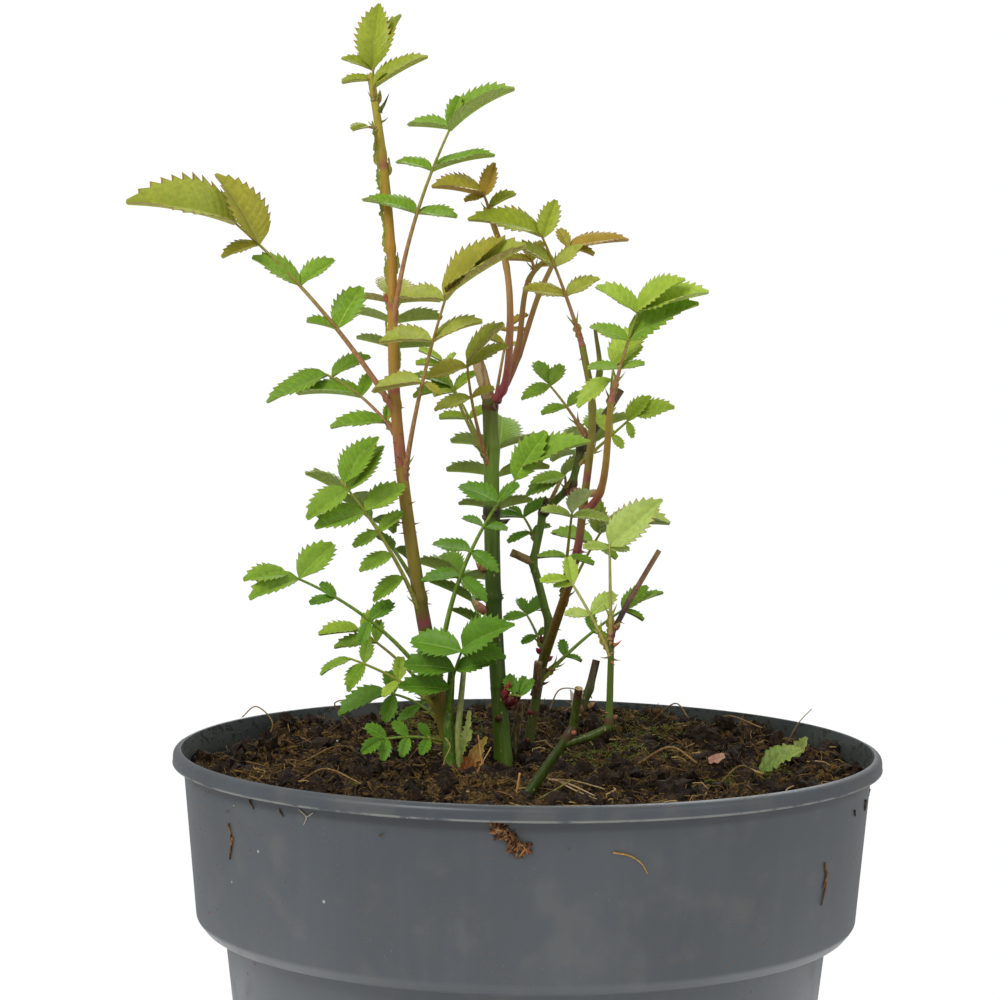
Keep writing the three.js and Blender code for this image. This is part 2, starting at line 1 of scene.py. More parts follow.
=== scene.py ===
"""Looks of a young rose bush in a round nursery pot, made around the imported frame.

Tables and sizes are in millimetres. +Z is up, +X is the bush's right and +Y its back, and the
origin is the centre of the pot's flat underside. Meshes are written in metres.
"""

import math

import bmesh
import bpy
import numpy as np
from mathutils import Matrix, Vector, noise


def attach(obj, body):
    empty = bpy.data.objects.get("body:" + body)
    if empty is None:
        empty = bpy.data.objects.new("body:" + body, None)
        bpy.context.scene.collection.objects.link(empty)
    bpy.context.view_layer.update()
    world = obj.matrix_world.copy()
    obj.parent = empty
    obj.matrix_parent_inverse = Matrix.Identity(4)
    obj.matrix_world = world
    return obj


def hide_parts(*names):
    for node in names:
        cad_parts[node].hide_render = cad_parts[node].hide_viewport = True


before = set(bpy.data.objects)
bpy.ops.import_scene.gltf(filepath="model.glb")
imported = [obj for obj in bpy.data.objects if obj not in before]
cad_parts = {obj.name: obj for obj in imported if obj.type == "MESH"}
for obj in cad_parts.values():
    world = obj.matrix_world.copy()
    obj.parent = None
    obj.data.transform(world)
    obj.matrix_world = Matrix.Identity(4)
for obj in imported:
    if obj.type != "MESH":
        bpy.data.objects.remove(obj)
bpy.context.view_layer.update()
MM = 0.001
TURN = 2 * math.pi

# ---- Sizes that the solids have too ----

POT_HEIGHT = 190
LIP_RADIUS = 113
BASE_RADIUS = 81.5
LIP_DEPTH = 4.8
WALL = 1.5
COLLAR_TOP_RADIUS = 109.5
COLLAR_FOOT_RADIUS = 105.2
COLLAR_FOOT = 135
LOWER_WALL_RADIUS = 96.3
GROUND = 181
SOIL_LUMP = 2.6
PAD_RADIUS = 20
CLEARANCE = 0.3
LEVELLING = 0.4
SEED = 20

# ---- Canes and shoots ----
# foot: where a cane stands. host, at: what a shoot grows from, and the height where it does.
# radius: at the foot and at the tip. internodes: [length, lean to the right, lean to the back], in mm
# and degrees. tints: bark colours from the foot up, by shares of the length. rings: heights of the
# joints whose bark is flushed, and how far the flush spreads. scars: height, spread, swelling, colour.
# cut: the tip was cut off. dry: dead wood. angular: it bends sharply at its joints.

CANES = {
    "tall_cane": dict(
        foot=(-23, 4), radius=(3.1, 1.2),
        internodes=[[57, -12, -4], [62, -7.6, -1], [50, -2.2, 1], [30, -6, 6], [26, -9, 10]],
        tints=[(0, "#6c7e24"), (0.08, "#84782c"), (0.17, "#946c36"), (0.22, "#605a22"), (0.28, "#8c7e30"),
               (0.4, "#a68c38"), (0.5, "#a8803a"), (0.6, "#b68e3a"), (0.75, "#ba8c36"), (0.87, "#ac942e"),
               (1, "#aca63a")],
        rings=[(229, 2.5), (280, 10), (303, 3), (330, 1.5), (374, 2)]),
    "old_cane": dict(
        foot=(-7.5, 13), radius=(2.7, 2.5),
        tints=[(0, "#5f7c1e"), (0.12, "#456010"), (0.35, "#365010"), (0.6, "#465e16"), (0.85, "#7c9a38"),
               (1, "#6a6a34")],
        internodes=[[55, -4, 1], [49, -1.5, -1], [15, -2, -1]],
        scars=[(264, 2.3, 0.4, "#2e2219"), (206.5, 0.5, 0.1, "#3a3c18"), (298, 1.0, 0.3, "#6a5034")]),
    "dead_stub": dict(
        host="old_cane", at=299, radius=(2.2, 1.9), internodes=[[16, -17, 10]], cut=True, dry=True,
        tints=[(0, "#9c845c"), (0.3, "#ccb48a"), (1, "#d8c49c")]),
    "front_shoot_of_old_cane": dict(
        host="old_cane", at=299, radius=(1.5, 0.9),
        internodes=[[7, 42, -38], [22.5, 6, -28], [20, -4, -13], [17, -18, -6]],
        tints=[(0, "#a8485a"), (0.3, "#b47458"), (0.6, "#c2955c"), (1, "#b49a44")], rings=[(303, 5)]),
    "back_shoot_of_old_cane": dict(
        host="old_cane", at=298.5, radius=(1.3, 0.8),
        internodes=[[9, 36, 20], [12, 24, 38], [22, 18, 16], [10.5, 24, 14]],
        tints=[(0, "#94524a"), (0.5, "#966a3a"), (1, "#a88a40")]),
    "side_shoot_of_old_cane": dict(
        host="old_cane", at=299, radius=(1.2, 0.8),
        internodes=[[6, 38, 4], [13.5, 21, 0], [23, 9, 0], [10, 40, 2]],
        tints=[(0, "#9a4a50"), (0.4, "#94683a"), (1, "#94843a")], rings=[(303, 4)]),
    "zigzag_cane": dict(
        foot=(0, 32), radius=(1.75, 1.15), cut=True, angular=True,
        internodes=[[45, 9, 1], [21, -15, 3], [17, 11, -4], [13, 45, -8], [13, 14, 0], [12, 36, 3],
                    [11, 32, 8]],
        tints=[(0, "#4e561c"), (0.3, "#5c7426"), (0.55, "#66842e"), (0.78, "#546a24"), (0.86, "#5c4a2e"),
               (1, "#6b5542")],
        scars=[(196, 1.0, 0.25, "#5a2c26"), (263, 1.5, 0.5, "#35271c"), (272, 1.6, 0.45, "#4a3022"),
               (284, 1.5, 0.45, "#33281c")]),
    "zigzag_stub": dict(
        host="zigzag_cane", at=246, radius=(1.5, 1.3), internodes=[[8, -66, -8]], cut=True, dry=True,
        tints=[(0, "#6a5138"), (1, "#8a6a4a")]),
    "red_shoot": dict(
        host="zigzag_cane", at=212, radius=(1.8, 1.1),
        internodes=[[46, 15, -33], [18, 7, -17], [33, 4, -15], [20, -10, -9]],
        tints=[(0, "#5e6420"), (0.25, "#866028"), (0.42, "#96664a"), (0.6, "#8e7a34"), (1, "#90903a")],
        rings=[(252, 5), (276, 3)]),
    "folded_shoot": dict(
        host="red_shoot", at=303, radius=(1.5, 0.5), internodes=[[8, 20, -30], [16, -7, -14]],
        tints=[(0, "#9c8a3c"), (0.4, "#8a9434"), (0.7, "#6c6222"), (1, "#7a6a2a")]),
    "red_side_shoot": dict(
        host="red_shoot", at=264, radius=(1.4, 1.0), internodes=[[11, 35, -38], [33, 5, -27]],
        tints=[(0, "#a86a50"), (0.5, "#ae8240"), (1, "#a8923c")], rings=[(268, 3)]),
    "front_cane": dict(
        foot=(-2, -56), radius=(1.75, 1.15), angular=True,
        internodes=[[25, 34, 0], [15, 23, 1], [9, 13, 4]],
        tints=[(0, "#35490d"), (0.45, "#36450f"), (0.62, "#40391a"), (0.74, "#405017"), (1, "#41291a")],
        cut=True, scars=[(202, 1.6, 0.25, "#4c3a24"), (210, 1.8, 0.35, "#5c452c")]),
    "front_stub": dict(
        host="front_cane", at=205, radius=(1.4, 1.2), internodes=[[13, 6, -24]], cut=True,
        tints=[(0, "#465817"), (0.66, "#445018"), (0.8, "#422c1b"), (1, "#46301f")]),
    "front_arm": dict(
        host="front_cane", at=199, radius=(1.25, 1.2), angular=True,
        internodes=[[9, 72, -14], [6, 62, -2]], tints=[(0, "#3a4816"), (1, "#445416")]),
    "front_shoot": dict(
        host="front_arm", at=204.6, radius=(1.2, 0.75), angular=True,
        internodes=[[28, 1, 3], [12, 28, 10], [17, 31, 12]],
        tints=[(0, "#506616"), (0.4, "#56661e"), (0.5, "#4c4226"), (0.62, "#4e3438"), (0.74, "#7c5c44"),
               (1, "#9c7a5c")],
        cut=True, rings=[(232, 2.5)], scars=[(206.5, 1.3, 0.4, "#5a3c26"), (232, 0.8, 0.2, "#6a4028")]),
}

# ---- Compound leaves ----

def back_leaf(host, at, to, rise, size, end_length, tilt, lower, upper):
    """A row for one of the leaves at the back, whose pairs differ only in their size."""
    pairs = [[13, 13, 70, 70], [size, size, 70, 70], [size, size, 65, 65]]
    return host, at, to, (0, rise), (0.35, 0.95), pairs, end_length, 0, tilt, lower, upper


# host, height on it, where the stalk ends from its start, how far it bows to the right and up,
# shares of it that hold the first and the last pair, the pairs as lengths of the left and right
# leaflets and how far each swings from the stalk, length of the end leaflet and its swing, the
# leaf's tip to the front, and the tones of the lower and the upper leaflets.
LEAVES = {
    "crown_leaf": (
        "tall_cane", 399, (0, 1, 6.5), (0, 0), (0.4, 0.9),
        [[10, 0, 92, 0], [11, 20, 70, 28]], 22, 4, 70, "crown", "crown"),
    "crown_side_leaf": (
        "tall_cane", 394, (-0.5, -3, 5), (0, 0), (0.5, 0.9),
        [[0, 7, 0, 40]], 20, 62, 66, "crown", "crown"),
    "young_side_leaf": (
        "tall_cane", 386, (-3, -3, 0.5), (0, 0), (0.5, 0.9),
        [], 9, -20, 60, "crown", "crown"),
    "upper_right_leaf": (
        "tall_cane", 322, (18, -10, 64), (-6, 0), (0.57, 0.99),
        [[19, 13, 95, 78], [12.5, 21, 95, 54], [14.5, 10.5, 104, -12]], 25, 33, 58, "fresh", "fresh"),
    "great_left_leaf": (
        "tall_cane", 296, (-51, -14, 60), (4, 5), (0.41, 0.86),
        [[10.5, 16.5, 40, 74], [17.5, 14.5, 15, 100], [13, 26, 58, 21]], 35, -28, 60, "fresh", "olive"),
    "upper_middle_leaf": (
        "tall_cane", 273, (14, -22, 62), (-3, 0), (0.53, 0.95),
        [[17, 7, 118, 110], [18.5, 17.5, 110, 48], [15, 28, 106, 26]], 31, 37, 58, "olive", "olive"),
    "left_leaf": (
        "tall_cane", 288, (-24, 12, 20), (2, 4), (0.2, 0.93),
        [[18, 6, 60, 40], [21, 9, 38, 69], [0, 14.5, 0, 117]], 21.5, -55, 56, "fresh", "fresh"),
    "stalked_left_leaf": (
        "tall_cane", 229, (-26, -14, 46), (4, 2), (0.31, 0.93),
        [[12.5, 0, 96, 0], [12, 0, 83, 0], [9.5, 11, 80, 90], [17.5, 16.5, 68, 96], [16.5, 19, 80, 83]],
         20, 80, 58, "fresh", "fresh"),
    "low_left_leaf": (
        "tall_cane", 205, (-49, -16, 41), (7, 8), (0.52, 0.92),
        [[8, 10.5, 100, 109], [9.5, 7, 40, 10], [18, 17.5, 46, 116]], 14.5, -27, 58, "deep", "fresh"),
    "low_back_leaf": (
        "tall_cane", 201, (-28, 14, 24), (2, 3), (0.8, 0.95),
        [[14, 8.5, 47, 55], [0, 9.5, 0, 82]], 13.5, -42, 56, "fresh", "lime"),
    "low_side_leaf": (
        "tall_cane", 200, (-30, -6, 18), (2, 3), (0.5, 0.85),
        [[8, 8, 70, 70], [11, 8, 75, 80]], 11.5, -45, 58, "lime", "fresh"),
    "dark_low_leaf": (
        "tall_cane", 196, (-19, 8, 9), (0, 4), (0.45, 0.9),
        [[9, 7, 70, 90], [10, 9, 95, 60]], 18, -35, 60, "deep", "deep"),
    "soil_leaf": (
        "tall_cane", 190, (-22, -15, 3), (0, 3), (0.3, 0.9),
        [[7, 6, 60, 50], [7.5, 7, 60, 50], [8, 8, 60, 45]], 9, -20, 64, "deep", "deep"),
    "heart_leaf": (
        "tall_cane", 190, (4.5, -24, 34), (-4, 2), (0.55, 0.95),
        [[17, 0, 102, 0], [17, 15, 110, 50], [18, 15, 108, 64]], 23, 30, 72, "deep", "deep"),
    "long_middle_leaf": (
        "tall_cane", 206, (27, -26, 75), (-13, 5), (0.49, 0.93),
        [[13.5, 11.5, 122, 108], [13.5, 11, 105, 98], [8, 8, 105, 60], [14.5, 9.5, 105, 15],
         [18.5, 0, 2, 0]], 24.5, 24, 60, "deep", "fresh"),
    "inner_left_leaf": (
        "old_cane", 278, (-16, -8, 35), (-2, 0), (0.72, 0.93),
        [[7, 7, 80, 70], [10, 6, 60, 60]], 9, -40, 56, "lime", "lime"),
    "inner_front_leaf": (
        "old_cane", 276, (-8, -19, 37), (-3, 2), (0.68, 0.95),
        [[12.5, 8, 92, 80], [13.5, 14.5, 98, 65]], 18, 45, 56, "olive", "olive"),
    "inner_back_leaf": (
        "old_cane", 277, (-13, 14, 27), (0, 3), (0.6, 0.95),
        [[10, 8, 70, 70], [14, 10, 75, 70]], 15, -40, 50, "lime", "fresh"),
    "stub_leaf": (
        "old_cane", 291, (5.5, 14, 33), (0, 2), (0.8, 0.95),
        [[9, 5, 75, 75], [8.5, 6, 88, 70]], 8, 45, 52, "olive", "bronze"),
    "middle_tip_leaf": (
        "front_shoot_of_old_cane", 359, (-2, -2, 6), (0, 1), (0.3, 0.95),
        [[0, 10, 0, 75], [7, 11, 70, 45]], 19, -50, 60, "crown", "bronze"),
    "bronze_tip_leaf": (
        "back_shoot_of_old_cane", 343, (6, 2, 7), (0, 1), (0.3, 0.95),
        [[8, 9, 70, 60]], 20, 32, 56, "bronze", "bronze"),
    "side_tip_leaf": (
        "side_shoot_of_old_cane", 342, (-1, 1, 3), (0, 0), (0.3, 0.95),
        [[0, 7, 0, 100], [8, 8, 65, 45]], 7, -10, 56, "bronze", "bronze"),
    "red_top_leaf": (
        "red_shoot", 320, (-13.5, -2, 35), (1, 1), (0.44, 0.96),
        [[14, 12.5, 59, 81], [15, 11.5, 43, 74], [0, 13, 0, 47]], 24, -50, 60, "olive", "crown"),
    "great_right_leaf": (
        "red_side_shoot", 304, (8, -12, 29), (0, 3), (0.35, 0.95),
        [[10, 8, 100, 55], [13, 26, 95, 40], [16, 20, 83, 30]], 24, 46, 58, "fresh", "lime"),
    "right_leaf": (
        "red_side_shoot", 298, (1, 4, 14), (0, 1), (0.7, 0.95),
        [[14, 0, 130, 0], [8, 12, 95, 50]], 20, 36, 58, "lime", "lime"),
    "zigzag_inner_leaf": (
        "zigzag_cane", 287, (-13, 8, 18), (0, 2), (0.55, 0.95),
        [[9, 8, 80, 75], [11, 9, 80, 60]], 10, 10, 60, "fresh", "fresh"),
    "far_right_leaf": (
        "zigzag_cane", 278, (19, -8, 18), (0, 0), (0.6, 0.85),
        [[9, 6, 100, 90], [11.5, 6, 6, 105]], 14, 30, 60, "lime", "lime"),
    "knee_leaf": (
        "zigzag_cane", 270, (-0.5, -5, 5), (0, 0), (0.9, 0.95),
        [[14, 0, 98, 0]], 12, -78, 56, "olive", "fresh"),
    "stub_side_leaf": (
        "zigzag_cane", 252, (-5, 10, 9), (0, 2), (0.35, 0.9),
        [[9, 7, 95, 80], [11.5, 12.5, 55, 80]], 7, -20, 52, "deep", "deep"),
    "thin_stalk_leaf": (
        "red_shoot", 234, (2, -30, 32), (0, 2), (0.5, 0.95),
        [[10, 9, 105, 100], [10, 13, 92, 78]], 14, 18, 58, "fresh", "pale"),
    "middle_right_leaf": (
        "red_shoot", 230, (13.5, -12, 29), (0, 3), (0.82, 0.95),
        [[16, 9, 110, 80], [12, 12, 35, 10]], 25, 42, 60, "fresh", "pale"),
    "pale_leaf": (
        "front_shoot", 231, (-1, -6, 29), (0, 1), (0.9, 0.95),
        [[8, 6, 85, 95]], 21, 48, 64, "pale", "pale"),
    "pale_left_leaf": (
        "front_shoot", 226, (-13, 4, 23), (0, 2), (0.5, 0.9),
        [[8, 10.5, 60, 75], [6, 9, 60, 20]], 9, -65, 62, "pale", "lime"),
    "reaching_low_leaf": (
        "zigzag_cane", 206, (31, 6, 26), (0, 4), (0.3, 0.9),
        [[6, 6, 60, 60], [7, 6, 60, 60], [12, 8, 10, 60]], 12, 8, 56, "deep", "fresh"),
    "thin_dark_leaf": (
        "zigzag_cane", 216, (-6, 10, 12), (0, 2), (0.4, 0.95),
        [[6, 5, 100, 70], [8, 9, 80, 60]], 8, 5, 56, "deep", "deep"),
    "small_bright_leaf": (
        "old_cane", 204, (7, -7, 1), (0, 1), (0.75, 0.95),
        [[8.5, 0, 135, 0], [7, 0, 100, 0]], 7, -68, 74, "deep", "deep"),
    "back_low_leaf": back_leaf("old_cane", 214, (-14, 36, 26), 6, 16, 19, -30, "deep", "fresh"),
    "back_left_leaf": back_leaf("tall_cane", 240, (-26, 36, 28), 6, 17, 21, -30, "deep", "fresh"),
    "back_middle_leaf": back_leaf("old_cane", 250, (2, 46, 34), 6, 18, 22, -35, "fresh", "fresh"),
    "back_upper_leaf": back_leaf("tall_cane", 306, (-2, 44, 26), 5, 17, 21, -35, "fresh", "olive"),
    "back_right_leaf": back_leaf("zigzag_cane", 264, (16, 34, 24), 5, 16, 20, -35, "fresh", "fresh"),
}

# How far the blades of some leaves are tipped to the front, in degrees.
TILTS = {
    "heart_leaf": 54, "stalked_left_leaf": 42, "great_left_leaf": 34, "great_right_leaf": 38,
    "far_right_leaf": 42, "red_top_leaf": 34, "upper_middle_leaf": 32, "inner_front_leaf": 34,
    "knee_leaf": 36, "zigzag_inner_leaf": 42, "soil_leaf": 46, "small_bright_leaf": 44,
    "pale_leaf": 42, "pale_left_leaf": 36, "low_left_leaf": 36, "long_middle_leaf": 34,
    "thin_dark_leaf": 42, "middle_tip_leaf": 34, "left_leaf": 28, "dark_low_leaf": 34,
    "right_leaf": 34,
}

# Each tone of leaf: two upper sides, underside, side veins, midrib, rim, stalk's foot and stalk's tip.
TONES = {
    "crown": ("#97a52c", "#a4b23c", "#a8a850", "#9dab34", "#aeb650", "#a8862e", "#a8863a", "#a39a38"),
    "bronze": ("#b2aa3a", "#bc9c3e", "#b28e54", "#b2a23c", "#baa050", "#a46a3a", "#a8703e", "#a0863a"),
    "olive": ("#aab446", "#aca63a", "#ae9f5a", "#aaae44", "#b8ba60", "#a0843e", "#ac7c50", "#a38a3a"),
    "fresh": ("#7da42c", "#8bae38", "#a2b25e", "#8bb03a", "#a4bc58", "#8a9c3a", "#b4825a", "#a3a244"),
    "deep": ("#628c26", "#6e9a2e", "#86a04a", "#68992c", "#8cae50", "#6a9a2c", "#8c9c38", "#7ea034"),
    # lime: a brighter yellow-green for leaves that catch the light, partly their own tone and partly
    # painted light.
    "lime": ("#a4c03c", "#b0ca48", "#b8c870", "#aec84e", "#bccf68", "#a8b446", "#a8ac44", "#a8b444"),
    # pale: a paler green for leaves with a satin sheen, partly their own tone and partly a painted sheen.
    "pale": ("#a8be54", "#b4c866", "#bccb8a", "#b2c66c", "#bed080", "#b0a25c", "#b8906a", "#aeb058"),
}


# ---- Small helpers ----

def chance(seed):
    """Numbers from 0 to 1, the same ones for the same seed as in the part's source."""
    state = seed & 0xFFFFFFFF

    def product(one, other):
        return (one * other) & 0xFFFFFFFF

    def draw():
        nonlocal state
        state = (state + 0x6D2B79F5) & 0xFFFFFFFF
        mixed = product(state ^ (state >> 15), state | 1)
        mixed ^= (mixed + product(mixed ^ (mixed >> 7), mixed | 61)) & 0xFFFFFFFF
        return (mixed ^ (mixed >> 14)) / 4294967296

    return draw


def linear(code):
    """A display colour such as "#7f8c3a" as linear red, green and blue."""
    parts = [int(code[place:place + 2], 16) / 255 for place in (1, 3, 5)]
    return [part / 12.92 if part <= 0.04045 else ((part + 0.055) / 1.055) ** 2.4 for part in parts]


def shaded(code, amount):
    """A display colour made darker or lighter, as linear numbers for a socket."""
    return (*[min(1, part * amount) for part in linear(code)], 1)


def unit(vector):
    return vector / np.linalg.norm(vector)


def lerp(low, high, share):
    return low + (high - low) * share


def smooth(value, low, high):
    share = np.clip((value - low) / (high - low), 0, 1)
    return share * share * (3 - 2 * share)


def graded(foot, tip, shares):
    """Colours that run from one display colour to another, one for each share."""
    return lerp(np.array(linear(foot)), np.array(linear(tip)), shares[:, None])


def shown(thing):
    """Links a new object into the scene, and gives it back."""
    bpy.context.scene.collection.objects.link(thing)
    return thing


def roughly(point, scale, octaves=3):
    """Smooth noise from about -1 to 1 at a point in mm; scale is the size of its lumps."""
    return noise.fractal(Vector(point) / scale, 1.0, 2.0, octaves)


# ---- Shader maths ----

class Value:
    """A socket that takes part in Python expressions."""

    def __init__(self, owner, socket):
        self.owner = owner
        self.socket = socket

    def beside(self, label):
        """Another output of the same node."""
        return Value(self.owner, self.socket.node.outputs[label])

    def _math(self, operation, *values):
        return self.owner.node("ShaderNodeMath", {"operation": operation}, dict(enumerate(values)))

    def __add__(self, other):
        return self._math("ADD", self, other)

    __radd__ = __add__

    def __sub__(self, other):
        return self._math("SUBTRACT", self, other)

    def __rsub__(self, other):
        return self._math("SUBTRACT", other, self)

    def __mul__(self, other):
        return self._math("MULTIPLY", self, other)

    __rmul__ = __mul__

    def __gt__(self, other):
        return self._math("GREATER_THAN", self, other)

    def above(self, level, blur):
        """1 well above the level and 0 well below it, with a soft step between."""
        ends = {"Value": self, "From Min": level - blur, "From Max": level + blur}
        return self.owner.node("ShaderNodeMapRange", {"interpolation_type": "SMOOTHSTEP"}, ends)

    def below(self, level, blur):
        return 1 - self.above(level, blur)


class Nodes:
    """A node tree whose nodes all come from one method."""

    def __init__(self, tree):
        self.tree = tree

    def node(self, kind, settings, inputs, output=0):
        """Any node: its settings first, then its sockets, from values or links."""
        made = self.tree.nodes.new(kind)
        for label, value in settings.items():
            setattr(made, label, value)
        for label, value in inputs.items():
            self.feed(made.inputs[label], value)
        return Value(self, made.outputs[output])

    def feed(self, socket, value):
        if isinstance(value, Value):
            self.tree.links.new(value.socket, socket)
        elif isinstance(value, str):
            socket.default_value = (*linear(value), 1)
        else:
            socket.default_value = value


class Paint(Nodes):
    """A material with one Principled shader, and the nodes that feed it."""

    def __init__(self, name, roughness=0.5, **constants):
        self.material = bpy.data.materials.new(name)
        self.material.use_nodes = True
        super().__init__(self.material.node_tree)
        self.shader = self.tree.nodes["Principled BSDF"]
        self.shader.inputs["Roughness"].default_value = roughness
        for label, value in constants.items():
            self.shader.inputs[label.replace("_", " ")].default_value = value
        self.place = self.node("ShaderNodeTexCoord", {}, {}, "Object")

    def mix(self, mask, under, over, blend="MIX"):
        """Colour over laid on colour under where the mask is 1."""
        settings = {"data_type": "RGBA", "blend_type": blend, "clamp_factor": True}
        return self.node("ShaderNodeMix", settings, {0: mask, 6: under, 7: over}, 2)

    def stretched(self, stretch, turn=(0, 0, 0)):
        inputs = {"Vector": self.place, "Scale": stretch, "Rotation": turn}
        return self.node("ShaderNodeMapping", {}, inputs)

    def grain(self, size, stretch=(1, 1, 1), detail=3, warp=0):
        """Noise from 0 to 1 with lumps of a size in mm."""
        inputs = {"Vector": self.stretched(stretch), "Scale": 1 / (size * MM), "Detail": detail,
                  "Distortion": warp}
        return self.node("ShaderNodeTexNoise", {}, inputs)

    def dots(self, spacing, size, stretch=(1, 1, 1), turn=(0, 0, 0)):
        """1 inside scattered dots: spacing in mm, size as a share of the spacing."""
        inputs = {"Vector": self.stretched(stretch, turn), "Scale": 1 / (spacing * MM)}
        near = self.node("ShaderNodeTexVoronoi", {}, inputs, "Distance")
        return near.below(size, size * 0.3)

    def stored(self, label):
        return self.node("ShaderNodeAttribute", {"attribute_name": label}, {}, "Color")

    def coordinate(self, axis):
        return self.node("ShaderNodeSeparateXYZ", {}, {0: self.place}, axis)

    def colour(self, value):
        self.feed(self.shader.inputs["Base Color"], value)

    def dull(self, value):
        self.feed(self.shader.inputs["Roughness"], value)

    def relief(self, height, depth, strength=1):
        """Bump from a height between 0 and 1; depth in mm."""
        inputs = {"Height": height, "Distance": depth * MM, "Strength": strength}
        bump = self.node("ShaderNodeBump", {}, inputs)
        self.feed(self.shader.inputs["Normal"], bump)
        return self


# ---- Meshes ----

class Shape:
    """Points in mm and faces for one piece, each face with the number of its material."""

    def __init__(self):
        self.points = []
        self.faces = []
        self.tones = []
        self.tints = []
        self.count = 0

    def add(self, points, faces, tones=0, tints=(1, 1, 1)):
        points = np.asarray(points, float).reshape(-1, 3)
        self.points.append(points)
        self.faces += [[corner + self.count for corner in face] for face in faces]
        self.tones += [tones] * len(faces) if isinstance(tones, int) else list(tones)
        self.tints.append(np.broadcast_to(np.asarray(tints, float), points.shape))
        self.count += len(points)

    def mesh(self, name):
        """The points and faces as a mesh in metres."""
        mesh = bpy.data.meshes.new(name)
        mesh.from_pydata((np.concatenate(self.points) * MM).tolist(), [], self.faces)
        return mesh

    def item(self, name):
        """A smooth object that exists only to be copied."""
        mesh = self.mesh(name)
        mesh.shade_smooth()
        return item_object(name, mesh)

    def piece(self, name, materials, nodes, slot, crease=50):
        """The finished piece, riding on the plant's body. Edges sharper than crease stay sharp."""
        mesh = self.mesh(name)
        for paint in materials:
            mesh.materials.append(paint.material)
        mesh.polygons.foreach_set("material_index", self.tones)
        mesh.shade_smooth()
        mesh.set_sharp_from_angle(angle=math.radians(crease))
        tint = mesh.color_attributes.new("tint", "FLOAT_COLOR", "POINT")
        colours = np.ones((self.count, 4))
        colours[:, :3] = np.concatenate(self.tints)
        tint.data.foreach_set("color", colours.ravel())
        mesh.update()
        return finish_piece(bpy.data.objects.new(name, mesh), nodes)


def finish_piece(piece, nodes):
    """Puts a piece on the plant's body, and hides the solids that it stands for."""
    shown(piece)
    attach(piece, "root")
    if nodes:
        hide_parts(*nodes)
    return piece


def grid_faces(rows, columns, wrap=False, flip=False):
    """Faces between the rows of a grid of points, each row holding the same number of columns."""
    faces = []
    for row in range(rows - 1):
        for column in range(columns if wrap else columns - 1):
            after = (column + 1) % columns
            corners = [row * columns + column, (row + 1) * columns + column,
                       (row + 1) * columns + after, row * columns + after]
            faces.append(corners[::-1] if flip else corners)
    return faces


class Path:
    """A curve as closely spaced points, read by the share of its length."""

    def __init__(self, points):
        self.points = np.asarray(points, float)
        steps = np.linalg.norm(np.diff(self.points, axis=0), axis=1)
        self.reach = np.concatenate([[0], np.cumsum(steps)])
        self.length = self.reach[-1]

    def point(self, share):
        at = np.clip(share, 0, 1) * self.length
        return np.stack([np.interp(at, self.reach, self.points[:, k]) for k in range(3)], axis=-1)

    def tangent(self, share):
        return unit(self.point(min(share + 0.002, 1)) - self.point(max(share - 0.002, 0)))

    def share_at(self, height):
        """Share of the length at which the curve first reaches a height."""
        place = int(np.argmax(self.points[:, 2] >= height))
        low, high = self.points[place - 1, 2], self.points[place, 2]
        part = (height - low) / (high - low)
        return lerp(self.reach[place - 1], self.reach[place], part) / self.length

    def frames(self, count):
        """Centres, normals and sides that follow the curve without twisting."""
        centres = self.point(np.linspace(0, 1, count))
        tangents = np.gradient(centres, axis=0)
        normal = np.array([0, 0, 1.0] if abs(unit(tangents[0])[0]) > 0.8 else [1.0, 0, 0])
        normals = []
        sides = []
        for tangent in tangents:
            tangent = unit(tangent)
            normal = unit(normal - tangent * normal.dot(tangent))
            normals.append(normal)
            sides.append(np.cross(normal, tangent))
        return centres, np.array(normals), np.array(sides)


def through(knots, samples=60):
    """A centripetal Catmull-Rom curve through the knots."""
    knots = [np.asarray(knot, float) for knot in knots]
    whole = [2 * knots[0] - knots[1], *knots, 2 * knots[-1] - knots[-2]]
    step = np.linspace(0, 1, samples, endpoint=False)[:, None]
    points = []
    for p0, p1, p2, p3 in zip(whole, whole[1:], whole[2:], whole[3:]):
        d0, d1, d2 = (np.linalg.norm(b - a) ** 0.5 for a, b in ((p0, p1), (p1, p2), (p2, p3)))
        first = ((p1 - p0) / d0 - (p2 - p0) / (d0 + d1) + (p2 - p1) / d1) * d1
        last = ((p2 - p1) / d1 - (p3 - p1) / (d1 + d2) + (p3 - p2) / d2) * d1
        points.append(p1 + first * step + (3 * (p2 - p1) - 2 * first - last) * step ** 2
                      + (2 * (p1 - p2) + first + last) * step ** 3)
    return Path(np.concatenate([*points, [knots[-1]]]))


def arched(start, end, bow):
    """A curve between two points that bows to the right and up."""
    middle = lerp(start, end, 0.5) + np.array([bow[0], 0, bow[1]])
    step = np.linspace(0, 1, 80)[:, None]
    return Path(start * (1 - step) ** 2 + middle * 2 * step * (1 - step) + end * step ** 2)


